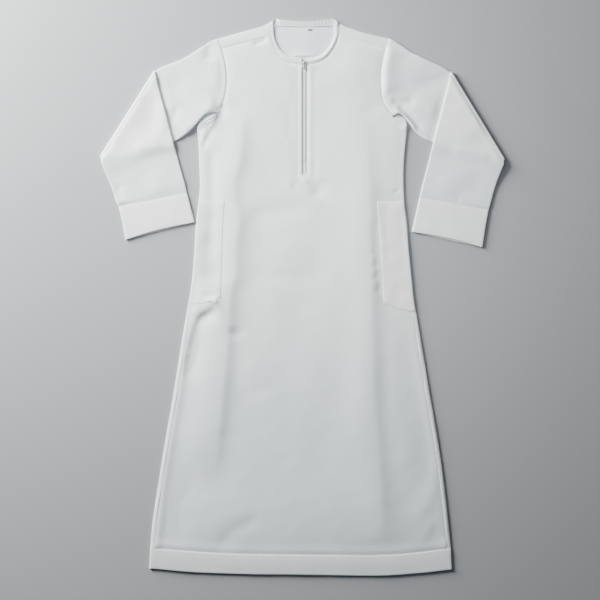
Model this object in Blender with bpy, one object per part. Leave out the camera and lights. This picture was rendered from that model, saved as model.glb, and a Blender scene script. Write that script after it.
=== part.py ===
"""A white thobe laid flat on its back, front upward, with both sleeves folded in at the elbow.

Units are millimetres until a mesh is made, and metres after that.  +X is the garment's left side
as it lies (the right side of a viewer above it), +Y points to the neck and +Z up from the surface
that it lies on.  The origin is at the middle of the garment's outline, on that surface.

Every cloth piece is a Wall: points in the middle of the cloth, each with the direction in which
its two faces lie, so that the thickness and the gaps to the next piece are exact.
"""

import math
from collections import namedtuple

import bpy
import numpy as np
from mathutils import Matrix, Vector
from mathutils.geometry import delaunay_2d_cdt

# ---------------------------------------------------------------- driving sizes, millimetres

MM = 0.001                 # metres in a millimetre
CLOTH = 1.2                # one layer of cloth
DOUBLE = 2.0               # two layers sewn together: hem, cuffs and neckband
GAP = 0.3                  # air between pieces, at seams and between layers
REST = CLOTH / 2           # middle of a layer that rests on the surface
LAID = REST + CLOTH + GAP  # middle of a layer that lies flat on another

SEAM_FORWARD = 11.0        # the back wraps this far round to the front at each side
SHOULDER_FORWARD = 28.0    # and this far over each shoulder
SIDE_ROUND = 1.3           # radius of the side fold, to the middle of the cloth
SHOULDER_ROUND = 1.3       # radius of the shoulder fold
SIDE_LEVEL = REST + 2 * SIDE_ROUND

ZIP_X = 4.0                # the zip's centre line
ZIP_WINDOW = 12.5          # width of the slit that shows the zip
ZIP_END = 321.0            # lower end of the slit
ZIP_TOP = 616.0            # upper end of the tapes and coil
UNDERARM_GAP = 1.2         # between the back and the underside of each sleeve at the armpit

PLACKET_HALF = 17.0        # half width of the stitched strip round the zip
PLACKET_END = 300.0
TAPE_WIDTH = 11.0
TAPE_THICK = 0.7
COIL_WIDTH = 5.0
COIL_THICK = 1.6
TAPE_SHOULDER = 602.0      # above this the tapes are no wider than the slit
SLIDER_WIDTH = 8.4
SLIDER_LENGTH = 10.0
SLIDER_DECK = 1.2
PIVOT_Y = 611.5            # the pull's hinge line, across the slider's middle
ARCH_WIDTH = 1.8
ARCH_SPAN = 8.0
ARCH_THICK = 0.9
PULL_WIDTH = 5.0
PULL_LENGTH = 21.0
PULL_THICK = 1.2
PULL_BAR = 0.5             # half the width of the bar that the arch holds
PULL_EYE = 5.6             # the eye reaches this far from the hinge line

POCKET_TOP = 250.0
POCKET_SETBACK = 2.0       # the pocket's mouth lies this far inside the side seam
TAB_SIZE = (12.0, 5.0, 0.6)
TAB_PLACE = (20.0, 695.0)

CREASE_ROUND = 1.6         # radius inside the elbow's fold, to the middle of the cloth
SLEEVE_SPACE = CLOTH + GAP + 0.3   # between the middles of a sleeve's two layers where it is flat
HEM_FLARE = 2.5            # the hem band widens this much at each end

HEM_STATIONS = 17          # points along the hem, in each layer
ARMHOLE_STATIONS = 10      # points along an armhole and across a sleeve
SHOULDER_STATIONS = 6      # points along a shoulder
CUFF_STATIONS = 8          # points across a cuff
PANEL_GRID = 30.0          # spacing of the points inside the front
BACK_GRID = 120.0          # the back is flat and needs few
FOLD_STEP = 30.0           # spacing of the points along a fold

# ---------------------------------------------------------------- outlines, millimetres

SideRow = namedtuple("SideRow", "y left right")
SIDES = [
    SideRow(444, -275.0, 273.0), SideRow(400, -270.0, 268.0), SideRow(345, -268.0, 263.5),
    SideRow(290, -266.5, 263.0), SideRow(240, -271.0, 266.0), SideRow(190, -277.0, 272.0),
    SideRow(125, -280.5, 277.0), SideRow(45, -287.0, 285.0), SideRow(-10, -295.5, 291.0),
    SideRow(-110, -313.0, 308.0), SideRow(-190, -325.5, 321.0), SideRow(-270, -338.5, 334.5),
    SideRow(-370, -356.0, 352.0), SideRow(-475, -373.0, 367.0), SideRow(-580, -389.0, 379.0),
    SideRow(-651, -395.5, 386.0),
]

HemRow = namedtuple("HemRow", "x seam edge")
HEM = [
    HemRow(-395.5, -651, -704), HemRow(-300, -659, -713), HemRow(-180, -666, -718.5),
    HemRow(20, -669, -722.5), HemRow(200, -670, -723.2), HemRow(306, -662, -717),
    HemRow(386, -651, -706),
]

# The neckband's outer and inner edges, anticlockwise: round the front from the left shoulder
# seam to the right one, then round the back.
NeckRow = namedtuple("NeckRow", "x y in_x in_y")
NECK_FRONT = [
    NeckRow(-74.5, 688, -65, 685), NeckRow(-71, 667, -62.5, 665), NeckRow(-63, 641, -53, 645.5),
    NeckRow(-48, 621, -39.5, 629.5), NeckRow(-27, 609.5, -21.5, 621.5), NeckRow(4, 604.5, 4, 619.5),
    NeckRow(37, 609.5, 31, 621.5), NeckRow(61, 622, 52.5, 631.5), NeckRow(78, 642, 67.5, 649.5),
    NeckRow(89.5, 664, 77.5, 668), NeckRow(94.5, 681, 82, 682),
]
NECK_BACK = [
    NeckRow(95.2, 697, 82.2, 694), NeckRow(93, 710, 81, 701), NeckRow(86.5, 719, 79, 704.5),
    NeckRow(77.5, 723.5, 74, 705.5), NeckRow(62, 721, 60, 705.5), NeckRow(6, 716.5, 6, 703.5),
    NeckRow(-50, 720, -47, 705), NeckRow(-69, 723.5, -61, 705.5), NeckRow(-74.5, 712, -65.5, 703),
    NeckRow(-75, 699, -65.5, 695),
]

# Each side of the garment has its own armhole, sleeve and pocket, as it came to lie.
Point = namedtuple("Point", "x y")
SleeveRow = namedtuple("SleeveRow", "top_x top_y low_x low_y")
Side = namedtuple("Side", "name sign armhole shoulder seam lens upper forearm cuff pocket_in pocket_low")
LEFT = Side(
    name="left", sign=-1,
    armhole=[Point(-219, 672), Point(-208.5, 642), Point(-199, 601), Point(-196.5, 558),
             Point(-205, 510), Point(-221, 481)],
    shoulder=[Point(-219, 672), Point(-165, 687.5), Point(-110, 702.5), Point(-78, 718)],
    seam=Point(-92, 678),
    lens=[Point(-221, 471), Point(-240, 468), Point(-257, 458)],
    upper=[SleeveRow(-238, 664.5, -241, 480.5), SleeveRow(-260, 650, -259, 470),
           SleeveRow(-285, 634, -276.5, 450.5), SleeveRow(-313, 618, -302, 426),
           SleeveRow(-342, 606.5, -342, 403), SleeveRow(-368, 597, -430, 386),
           SleeveRow(-385, 589, -526.5, 365.5)],
    forearm=[SleeveRow(-377, 558, -521, 350), SleeveRow(-366, 517, -514, 332),
             SleeveRow(-353, 468, -505, 309), SleeveRow(-339, 415, -496, 287),
             SleeveRow(-322, 353, -486, 259), SleeveRow(-308, 303, -481, 244),
             SleeveRow(-299.5, 270, -478, 236)],
    cuff=[SleeveRow(-292, 242, -470, 206), SleeveRow(-280.5, 196, -460, 150.5)],
    pocket_in=[Point(-202, 250), Point(-207, 170), Point(-212, 0)],
    pocket_low=[Point(-212, 0), Point(-250, -14), Point(-280, -17)],
)
RIGHT = Side(
    name="right", sign=1,
    armhole=[Point(224, 673), Point(215, 645), Point(206.5, 604), Point(203.5, 562),
             Point(209, 515), Point(231, 484)],
    shoulder=[Point(224, 673), Point(166, 686), Point(115, 703), Point(98, 713)],
    seam=Point(110, 676),
    lens=[Point(231, 473), Point(246, 468), Point(258, 458)],
    upper=[SleeveRow(240, 664.5, 247, 477), SleeveRow(263, 649.5, 262, 466),
           SleeveRow(286, 634, 275, 450.5), SleeveRow(318, 618, 300, 424),
           SleeveRow(345, 606, 342, 402), SleeveRow(368, 595.5, 432, 381),
           SleeveRow(388, 587, 526.5, 358.5)],
    forearm=[SleeveRow(380, 556, 522, 345), SleeveRow(369.5, 517, 514.5, 326),
             SleeveRow(357, 468, 506, 304), SleeveRow(343, 416, 499, 283),
             SleeveRow(326, 345, 491, 254), SleeveRow(312, 290, 486, 236),
             SleeveRow(303, 257.5, 484, 227.5)],
    cuff=[SleeveRow(295.5, 222, 476.5, 186), SleeveRow(284, 171, 468, 130.5)],
    pocket_in=[Point(193, 250), Point(200, 160), Point(211, -15)],
    pocket_low=[Point(211, -15), Point(245, -27), Point(275, -36)],
)

# ---------------------------------------------------------------- the largest folds, millimetres

# A fold is a soft ridge (or, with a negative height, a trough) along a curve through three points.
# It fades in and out over the same share of its length at each end.
Fold = namedtuple("Fold", "start middle end wide_left wide_right height fade")
FRONT_FOLDS = [
    Fold((163, 410), (180, -40), (194, -760), 46, 18, 5.5, 0.12),      # long fold on the right
    Fold((-166, 400), (-180, 130), (-194, -190), 34, 16, 3.7, 0.2),    # shorter one on the left
    Fold((-190, -110), (-200, -270), (-214, -430), 30, 18, 2.2, 0.3),  # and where it runs out
    Fold((-325, -190), (-365, -470), (-376, -760), 24, 34, 2.6, 0.2),  # left side, by the seam
    Fold((296, -90), (325, -350), (358, -760), 40, 30, 2.4, 0.2),      # right side
    Fold((-216, -664), (-186, -622), (-125, -570), 16, 20, 3.0, 0.35), # short one over the hem
    Fold((-150, 212), (-60, 224), (30, 236), 20, 20, -1.5, 0.3),       # crease below the zip
    Fold((-165, 62), (0, 50), (130, 56), 26, 26, -1.0, 0.3),           # faint one over the waist
    Fold((-268, -34), (-235, -18), (-198, -2), 12, 18, 3.0, 0.35),     # end of the left pocket
    Fold((176, 190), (190, 70), (206, -40), 12, 12, -1.6, 0.35),       # right pocket's drawn edge
]
FRONT_LOFT = 1.8           # air under the front between its folds
ZIP_LEVEL = REST + CLOTH / 2 + GAP + TAPE_THICK + GAP + CLOTH / 2

# ---------------------------------------------------------------- curves


def smooth(points, steps):
    """Points on a Catmull-Rom curve through the given ones, with some steps to each stretch."""
    track = [np.array(p, float) for p in points]
    track = [2 * track[0] - track[1]] + track + [2 * track[-1] - track[-2]]
    line = []
    for a, b, c, d in zip(track, track[1:], track[2:], track[3:]):
        for t in np.arange(steps) / steps:
            line.append(0.5 * (2 * b + (c - a) * t + (2 * a - 5 * b + 4 * c - d) * t ** 2
                               + (3 * b - a - 3 * c + d) * t ** 3))
    line.append(track[-2])
    return np.array(line)


def spread(line, count):
    """The same curve with a number of evenly spaced points."""
    line = np.array(line, float)
    along = np.concatenate([[0], np.cumsum(np.linalg.norm(np.diff(line, axis=0), axis=1))])
    at = np.linspace(0, along[-1], count)
    return np.column_stack([np.interp(at, along, line[:, k]) for k in range(line.shape[1])])


def shift(line, distance):
    """The curve moved sideways, to its right as it runs, with its stretches kept parallel.

    distance is one number, or one for each point.
    """
    line = np.array(line, float)
    runs = np.diff(line, axis=0)
    sides = np.column_stack([runs[:, 1], -runs[:, 0]])
    sides /= np.linalg.norm(sides, axis=1)[:, None]
    before = np.vstack([sides[:1], sides])
    after = np.vstack([sides, sides[-1:]])
    both = before + after
    both /= np.sum(both * before, axis=1)[:, None]
    return line + both * np.reshape(distance, (-1, 1))


def ease(value):
    """0 to 1 with soft ends."""
    value = np.clip(value, 0, 1)
    return value * value * (3 - 2 * value)


def distance_to(line, x, y):
    """Signed distance from a line of points, plus to its right, and how far along it (0 to 1)."""
    line = np.array(line, float)
    start = line[:-1]
    run = np.diff(line, axis=0)
    length = np.linalg.norm(run, axis=1)
    offset = np.array([x, y]) - start
    part = np.clip(np.sum(offset * run, axis=1) / length ** 2, 0, 1)
    apart = offset - run * part[:, None]
    away = np.linalg.norm(apart, axis=1)
    near = int(np.argmin(away))
    across = run[near][1] * offset[near][0] - run[near][0] * offset[near][1]
    along = (np.sum(length[:near]) + length[near] * part[near]) / np.sum(length)
    return math.copysign(away[near], across), along


# ---------------------------------------------------------------- walls of cloth


class Wall:
    """Cloth as points in its middle, each with the direction and half thickness of its faces."""

    def __init__(self, thick=CLOTH):
        self.thick = thick
        self.middle = []
        self.out = []
        self.half = []
        self.faces = []

    def add(self, point, out=(0, 0, 1), half=None):
        self.middle.append(Vector(point))
        self.out.append(Vector(out).normalized())
        self.half.append(self.thick / 2 if half is None else half)
        return len(self.middle) - 1

    def solid(self, name, colour):
        """One closed solid: the outer face, the inner face and the rims between them."""
        count = len(self.middle)
        points = [m + o * h for m, o, h in zip(self.middle, self.out, self.half)]
        points += [m - o * h for m, o, h in zip(self.middle, self.out, self.half)]
        faces = [list(face) for face in self.faces]
        faces += [[corner + count for corner in reversed(face)] for face in self.faces]
        edges = {(a, b) for face in self.faces for a, b in zip(face, face[1:] + face[:1])}
        rims = sorted((a, b) for a, b in edges if (b, a) not in edges)
        faces += [[a, a + count, b + count, b] for a, b in rims]
        return make_object(name, points, faces, colour)


def make_object(name, points, faces, colour):
    """A mesh object in metres whose faces point outward, with its own material."""
    points = [tuple(c * MM for c in point) for point in points]
    volume = 0.0
    for face in faces:
        first = Vector(points[face[0]])
        for b, c in zip(face[1:], face[2:]):
            volume += first.dot(Vector(points[b]).cross(Vector(points[c])))
    if volume < 0:
        faces = [list(reversed(face)) for face in faces]
    mesh = bpy.data.meshes.new(name)
    mesh.from_pydata(points, [], faces)
    mesh.validate()
    thing = bpy.data.objects.new(name, mesh)
    bpy.context.scene.collection.objects.link(thing)
    mesh.materials.append(finish(name, colour))
    return thing


Finish = namedtuple("Finish", "red green blue roughness metallic")
WHITE_CLOTH = Finish(0.80, 0.81, 0.81, 0.85, 0.0)
DOUBLED_CLOTH = Finish(0.84, 0.84, 0.82, 0.85, 0.0)
WHITE_TAPE = Finish(0.78, 0.79, 0.80, 0.8, 0.0)
WHITE_NYLON = Finish(0.80, 0.80, 0.79, 0.45, 0.0)
WHITE_METAL = Finish(0.82, 0.82, 0.82, 0.3, 0.8)
GREY_THREAD = Finish(0.12, 0.12, 0.13, 0.9, 0.0)


def finish(name, colour):
    material = bpy.data.materials.new(name + "_finish")
    material.use_nodes = True
    shader = material.node_tree.nodes["Principled BSDF"]
    shader.inputs["Base Color"].default_value = (colour.red, colour.green, colour.blue, 1)
    shader.inputs["Roughness"].default_value = colour.roughness
    shader.inputs["Metallic"].default_value = colour.metallic
    return material


def panel_mesh(outline, inner_points, inner_loops=()):
    """Triangles that fill an outline through the given inner points, with loops kept as edges."""
    points = [Vector(p) for p in outline]
    edges = []
    for loop in inner_loops:
        first = len(points)
        points += [Vector(p) for p in loop]
        edges += [(first + k, first + (k + 1) % len(loop)) for k in range(len(loop))]
    points += [Vector(p) for p in inner_points]
    border = list(range(len(outline)))
    verts, _, faces, origins, _, _ = delaunay_2d_cdt(points, edges, [border], 1, 1e-4)
    place = {source: k for k, sources in enumerate(origins) for source in sources}
    assert all(k in place for k in border)
    order = [place[k] for k in border]
    fixed = []
    for a, b, c in faces:
        turn = (verts[b] - verts[a]).cross(verts[c] - verts[a])
        fixed.append([a, b, c] if turn > 0 else [a, c, b])
    return verts, fixed, order


def inside(outline, x, y):
    """Whether a point lies inside an outline."""
    odd = False
    for (ax, ay), (bx, by) in zip(outline, list(outline[1:]) + [outline[0]]):
        if (ay > y) != (by > y) and x < (bx - ax) * (y - ay) / (by - ay) + ax:
            odd = not odd
    return odd


def fill_points(outline, spacing, margin, keep_off=(), keep_distance=0.0):
    """Points of a staggered grid inside an outline, clear of its edge and of other points."""
    outline = np.array(outline)
    closed = np.vstack([outline, outline[:1]])
    taken = np.array(keep_off, float).reshape(-1, 2)
    low = outline.min(axis=0)
    high = outline.max(axis=0)
    found = []
    row = 0
    y = low[1] + spacing / 2
    while y < high[1]:
        x = low[0] + spacing * (0.25 + 0.5 * (row % 2))
        while x < high[0]:
            free = len(taken) == 0 or np.min(np.linalg.norm(taken - (x, y), axis=1)) > keep_distance
            if free and inside(outline, x, y) and abs(distance_to(closed, x, y)[0]) > margin:
                found.append((x, y))
            x += spacing
        y += spacing * 0.87
        row += 1
    return found


# ---------------------------------------------------------------- lines that the pieces share


def side_line(side, inset):
    """A side of the body from the armpit to the hem seam, moved in from its outline."""
    column = 1 if side is LEFT else 2
    line = [(row[column], row.y) for row in SIDES]
    return shift(line, np.multiply(inset, side.sign))


def side_seam(side, extra=0.0):
    """The side seam, which comes forward from the armpit to its full distance."""
    forward = [SEAM_FORWARD + (4.5 - SEAM_FORWARD) * (1 - ease((SIDES[0].y - row.y) / 60))
               for row in SIDES]
    return side_line(side, np.array(forward) + extra)


def hem_line(column, inset, lift=0.0):
    """The hem seam (column 1) or hem edge (2) from the left side to the right."""
    line = smooth(HEM, 4)
    xs = np.linspace(line[0][0], line[-1][0], HEM_STATIONS)
    line = np.column_stack([xs, np.interp(xs, line[:, 0], line[:, column]) + lift])
    for end, next_in, sign in ((0, 1, 1), (-1, -2, -1)):
        run = line[next_in] - line[end]
        line[end] += run / abs(run[0]) * inset
    return line


def on_hem(point, lift=0.0):
    """The point of the hem seam straight below or above a point."""
    line = hem_line(1, 0.0, lift)
    return point[0], np.interp(point[0], line[:, 0], line[:, 1])


def armhole_line(side, distance=0.0):
    """The armhole from the shoulder fold to the armpit.  Its second point is the shoulder seam."""
    line = smooth(side.armhole, 8)
    along = np.concatenate([[0], np.cumsum(np.linalg.norm(np.diff(line, axis=0), axis=1))])
    edge = SHOULDER_ROUND + REST
    at = np.linspace(SHOULDER_FORWARD, along[-1] - edge, ARMHOLE_STATIONS - 1)
    at = np.concatenate([[edge], at])
    line = np.column_stack([np.interp(at, along, line[:, k]) for k in range(2)])
    return shift(line, -distance * side.sign)


def shoulder_fold(side):
    """The flat edge of the back under its shoulder fold, from the armhole to the neck."""
    line = shift(spread(smooth(side.shoulder, 4), SHOULDER_STATIONS),
                 -(SHOULDER_ROUND + REST) * side.sign)
    line[0] = armhole_line(side)[0]
    return line


def shoulder_seam(side, drop=0.0):
    """The shoulder seam, from the armhole to the neckband."""
    neck = np.array(NECK_FRONT[0 if side is LEFT else -1][:2], float)
    line = np.array([armhole_line(side)[1], side.seam, neck + (GAP * 2 * side.sign, 0)])
    return shift(spread(line, SHOULDER_STATIONS), -drop * side.sign)


def neck_front_lines():
    """The neckband's edges round the front, split at the zip: the left part and the right."""
    rows = smooth(NECK_FRONT, 3)
    parts = []
    for edge_x, keep in ((ZIP_X - ZIP_WINDOW / 2, rows[:, 0] < ZIP_X - ZIP_WINDOW / 2 - 2),
                         (ZIP_X + ZIP_WINDOW / 2, rows[:, 0] > ZIP_X + ZIP_WINDOW / 2 + 2)):
        lower = rows[(np.abs(rows[:, 0] - ZIP_X) < 40)]
        end = [edge_x, np.interp(edge_x, lower[:, 0], lower[:, 1]),
               edge_x, np.interp(edge_x, lower[:, 0], lower[:, 3])]
        part = rows[keep]
        parts.append(np.vstack([part, end]) if edge_x < ZIP_X else np.vstack([end, part]))
    return parts


# ---------------------------------------------------------------- relief of the front


def fold_line(fold):
    return spread(smooth([fold.start, fold.middle, fold.end], 8), 14)


FOLD_LINES = [fold_line(fold) for fold in FRONT_FOLDS]


def fold_height(fold, line, x, y):
    """What one fold adds to the height at a place."""
    away, along = distance_to(line, x, y)
    wide = fold.wide_right if away > 0 else fold.wide_left
    if fold.start[1] > fold.end[1]:
        wide = fold.wide_left if away > 0 else fold.wide_right
    ends = ease(along / fold.fade) * ease((1 - along) / fold.fade)
    return fold.height * math.exp(-(away / wide) ** 2) * ends


def front_level(x, y, seams):
    """Middle of the front's cloth at a place, with the seams that hold it down."""
    height = FRONT_LOFT
    for fold, line in zip(FRONT_FOLDS, FOLD_LINES):
        height += fold_height(fold, line, x, y)
    level = LAID + max(height, 0.0)
    for line, seam_level, fall in seams:
        away = abs(distance_to(line, x, y)[0])
        held = math.exp(-(away / fall) ** 2)
        level = level * (1 - held) + seam_level * held
    beside = abs(x - ZIP_X)
    if y > PLACKET_END - 30:
        held = ease((PLACKET_HALF + 26 - beside) / 22) * ease((y - PLACKET_END + 30) / 30)
        level = level * (1 - held) + ZIP_LEVEL * held
    return max(level, LAID)


# ---------------------------------------------------------------- pieces of the body


def fold_over(wall, border, outward, radius, ends):
    """Carry a border of a flat piece up round a fold, and back over the piece to the end points."""
    turns = [math.radians(a) for a in (45, 90, 135, 180)]
    columns = []
    for index, normal, end in zip(border, outward, ends):
        base = wall.middle[index]
        side = Vector((normal[0], normal[1], 0)).normalized()
        centre = base + Vector((0, 0, radius))
        column = [index]
        for turn in turns:
            arm = side * math.sin(turn) - Vector((0, 0, math.cos(turn)))
            column.append(wall.add(centre + arm * radius, -arm))
        column.append(wall.add((end[0], end[1], base.z + 2 * radius), (0, 0, -1)))
        columns.append(column)
    for near, far in zip(columns, columns[1:]):
        for k in range(len(near) - 1):
            wall.faces.append([near[k], near[k + 1], far[k + 1], far[k]])


def back_outline():
    """The stretches of the back's flat outline by name, anticlockwise from the hem's left end."""
    inset = SIDE_ROUND + REST
    hem = hem_line(1, inset, GAP)
    parts = [("hem", hem[1:-1])]
    for side in (RIGHT, LEFT):
        low = side_line(side, inset)
        low[-1] = on_hem(low[-1], GAP)
        under = [side.armhole[-1]] + [(row.low_x, row.low_y) for row in side.upper[:3]]
        under = shift(under, UNDERARM_GAP * side.sign)[:-1]
        stretches = [("side", low[::-1]), ("under", under[::-1]),
                     ("armhole", armhole_line(side)[-2:0:-1]),
                     ("shoulder", shoulder_fold(side))]
        if side is RIGHT:
            parts += [("right_" + name, line) for name, line in stretches]
            parts.append(("neck", shift(smooth(NECK_BACK, 2)[:, :2], -1.0)[3:-3]))
        else:
            parts += [("left_" + name, line[::-1]) for name, line in reversed(stretches)]
    return parts


def make_back():
    """The back, flat on the surface, wrapped forward at the sides and over the shoulders."""
    parts = back_outline()
    outline = np.vstack([line for _, line in parts])
    reach = {}
    count = 0
    for name, line in parts:
        reach[name] = slice(count, count + len(line))
        count += len(line)
    verts, faces, order = panel_mesh(outline, fill_points(outline, BACK_GRID, BACK_GRID / 3))
    wall = Wall()
    for v in verts:
        wall.add((v.x, v.y, REST))
    wall.faces = faces
    for side in (LEFT, RIGHT):
        for name, ends in (("_side", side_seam(side, -GAP)[::-1]),
                           ("_shoulder", shoulder_seam(side))):
            at = reach[side.name + name]
            line = outline[at]
            if name == "_side":
                ends[0] = on_hem(ends[0], GAP)
            ends = ends[::-1] if side is LEFT else ends
            fold_over(wall, order[at], shift(line, 1.0) - line, SIDE_ROUND, ends)
    return wall.solid("back", WHITE_CLOTH)


def front_seams():
    """The lines along which the front is sewn down, the level there and how far it reaches."""
    seams = [(hem_line(1, 0, 2.0), LAID + 0.4, 16.0)]
    for line in neck_front_lines():
        seams.append((line[:, :2], LAID + 0.4, 14.0))
    for side in (LEFT, RIGHT):
        seams.append((side_seam(side), SIDE_LEVEL, 14.0))
        seams.append((armhole_line(side)[1:], SIDE_LEVEL, 12.0))
        seams.append((shoulder_seam(side), SIDE_LEVEL, 14.0))
    return seams


def pocket_loop(side):
    """The pocket panel's outline: down its inner edge, along the bottom and up its mouth."""
    inner = smooth(side.pocket_in, 3)
    low = smooth(side.pocket_low, 2)[1:]
    mouth = side_seam(side, POCKET_SETBACK)[::-1]
    ys = np.linspace(low[-1][1], POCKET_TOP, 8)
    mouth = np.column_stack([np.interp(ys, mouth[:, 1], mouth[:, 0]), ys])
    top = np.linspace(mouth[-1], inner[0], 4)[1:-1]
    return np.vstack([inner, low[:-1], mouth, top])


def front_outline():
    """The front's outline, anticlockwise from the hem's left end."""
    hem = hem_line(1, SEAM_FORWARD, GAP)
    rising = {}
    for side in (LEFT, RIGHT):
        low = side_seam(side)
        low[-1] = on_hem(low[-1], GAP)
        rising[side.name] = np.vstack([low[::-1], side.lens[::-1], armhole_line(side)[-2:1:-1],
                                       shoulder_seam(side, GAP)])
    left, right = [shift(line[:, :2], GAP) for line in neck_front_lines()]
    left[-1][0] = ZIP_X - ZIP_WINDOW / 2
    right[0][0] = ZIP_X + ZIP_WINDOW / 2
    ys = np.linspace(left[-1][1], ZIP_END, 8)[1:]
    down = np.column_stack([np.full(len(ys), right[0][0]), ys])
    up = np.column_stack([np.full(len(ys), left[-1][0]), ys[::-1]])
    return np.vstack([hem[1:-1], rising["right"], right[-2::-1], down, up, left[:0:-1],
                      rising["left"][::-1]])


def front_points(outline, loops):
    """Inner points: rows along each fold, then a grid between them."""
    points = []
    closed = np.vstack([outline, outline[:1]])
    for fold in FRONT_FOLDS:
        line = smooth([fold.start, fold.middle, fold.end], 8)
        length = np.sum(np.linalg.norm(np.diff(line, axis=0), axis=1))
        line = spread(line, max(int(length / FOLD_STEP), 4))
        down = fold.start[1] > fold.end[1]
        right, left = (fold.wide_left, fold.wide_right) if down else (fold.wide_right, fold.wide_left)
        for away in (-1.3 * left, -0.65 * left, 0.0, 0.65 * right, 1.3 * right):
            points += [tuple(p) for p in shift(line, away)]
    loop_lines = [np.vstack([loop, loop[:1]]) for loop in loops]
    kept = []
    for x, y in points:
        clear = inside(outline, x, y) and abs(distance_to(closed, x, y)[0]) > 9
        clear = clear and all(abs(distance_to(line, x, y)[0]) > 6 for line in loop_lines)
        clear = clear and all((x - a) ** 2 + (y - b) ** 2 > 100 for a, b in kept)
        if clear:
            kept.append((x, y))
    taken = kept + [tuple(p) for loop in loops for p in loop]
    grid = fill_points(outline, PANEL_GRID, PANEL_GRID / 3, taken, PANEL_GRID * 0.62)
    return kept + grid


def make_front_and_pockets():
    """The front, and the pocket panels made from its points moved out."""
    outline = front_outline()
    loops = [pocket_loop(side) for side in (LEFT, RIGHT)]
    verts, faces, _ = panel_mesh(outline, front_points(outline, loops), loops)
    seams = front_seams()
    levels = [front_level(v.x, v.y, seams) for v in verts]
    wall = Wall()
    for v, level in zip(verts, levels):
        wall.add((v.x, v.y, level))
    wall.faces = faces
    wall.solid("front", WHITE_CLOTH)
    for side, loop in zip((LEFT, RIGHT), loops):
        patch = Wall()
        place = {}
        for face in faces:
            x = sum(verts[k].x for k in face) / 3
            y = sum(verts[k].y for k in face) / 3
            if not inside(loop, x, y):
                continue
            for k in face:
                if k not in place:
                    place[k] = patch.add((verts[k].x, verts[k].y, levels[k] + CLOTH + GAP))
            patch.faces.append([place[k] for k in face])
        patch.solid("pocket_" + side.name, DOUBLED_CLOTH)


def make_neckband():
    """A doubled band round the neck, open at the zip, flat on the back and beside the front."""
    left, right = neck_front_lines()
    rows = np.vstack([right, smooth(NECK_BACK, 3), left])
    wall = Wall(DOUBLE)
    floor = REST + CLOTH / 2 + GAP
    columns = []
    for x, y, ix, iy in rows:
        column = []
        for part, half in ((0.0, 0.85), (0.3, 1.25), (0.7, 1.25), (1.0, 0.85)):
            column.append(wall.add((x + (ix - x) * part, y + (iy - y) * part, floor + half),
                                   half=half))
        columns.append(column)
    for a, b in zip(columns, columns[1:]):
        for k in range(3):
            wall.faces.append([a[k], b[k], b[k + 1], a[k + 1]])
    return wall.solid("neckband", DOUBLED_CLOTH)


# ---------------------------------------------------------------- sleeves, cuffs and hem: tubes


def ring(line, first, second, first_up):
    """Points round a flattened tube: one layer across, the far edge, the other layer, the near edge.

    first and second are the heights of the two layers' middles along the line.
    """
    line = [Vector((p[0], p[1], 0)) for p in line]
    near = (line[0] - line[1]).normalized()
    far = (line[-1] - line[-2]).normalized()
    up = Vector((0, 0, first_up))
    points = [(p + Vector((0, 0, z)), up) for p, z in zip(line, first)]
    for p, out, a, b, turned in ((line[-1], far, first[-1], second[-1], False),
                                 (line[0], near, first[0], second[0], True)):
        radius = abs(a - b) / 2
        centre = p + Vector((0, 0, (a + b) / 2))
        arc = []
        for turn in (45, 90, 135):
            arm = up * math.cos(math.radians(turn)) + out * math.sin(math.radians(turn))
            arc.append((centre + arm * radius, arm))
        if turned:
            points += [(q + Vector((0, 0, z)), -up) for q, z in zip(line[::-1], second[::-1])]
            points += arc[::-1]
        else:
            points += arc
    return points


def tube(rings, thick, name, colour):
    """A wall round a tube, through its rings."""
    wall = Wall(thick)
    rows = [[wall.add(point, out) for point, out in points] for points in rings]
    for low, high in zip(rows, rows[1:]):
        for k in range(len(low)):
            n = (k + 1) % len(low)
            wall.faces.append([low[k], low[n], high[n], high[k]])
    return wall.solid(name, colour)


# Soft ridges on the sleeves: how far from the shoulder and across, both 0 to 1, and their size.
Swell = namedtuple("Swell", "along across wide_along wide_across height")
UPPER_SWELLS = [Swell(0.30, 0.25, 0.22, 0.25, 3.2), Swell(0.35, 0.80, 0.25, 0.14, 2.6)]
FOREARM_SWELLS = [Swell(0.35, 0.35, 0.30, 0.30, 2.4), Swell(0.75, 0.65, 0.25, 0.30, 1.8)]


def across_points(row, count, inset):
    """Evenly spaced points from a sleeve's top edge to its underarm edge, in from both."""
    top = np.array([row.top_x, row.top_y], float)
    low = np.array([row.low_x, row.low_y], float)
    run = (low - top) / np.linalg.norm(low - top)
    return np.linspace(top + run * inset, low - run * inset, count)


def swell_height(swells, along, across):
    total = 0.0
    for s in swells:
        total += s.height * math.exp(-((along - s.along) / s.wide_along) ** 2
                                     - ((across - s.across) / s.wide_across) ** 2)
    return total


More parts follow.
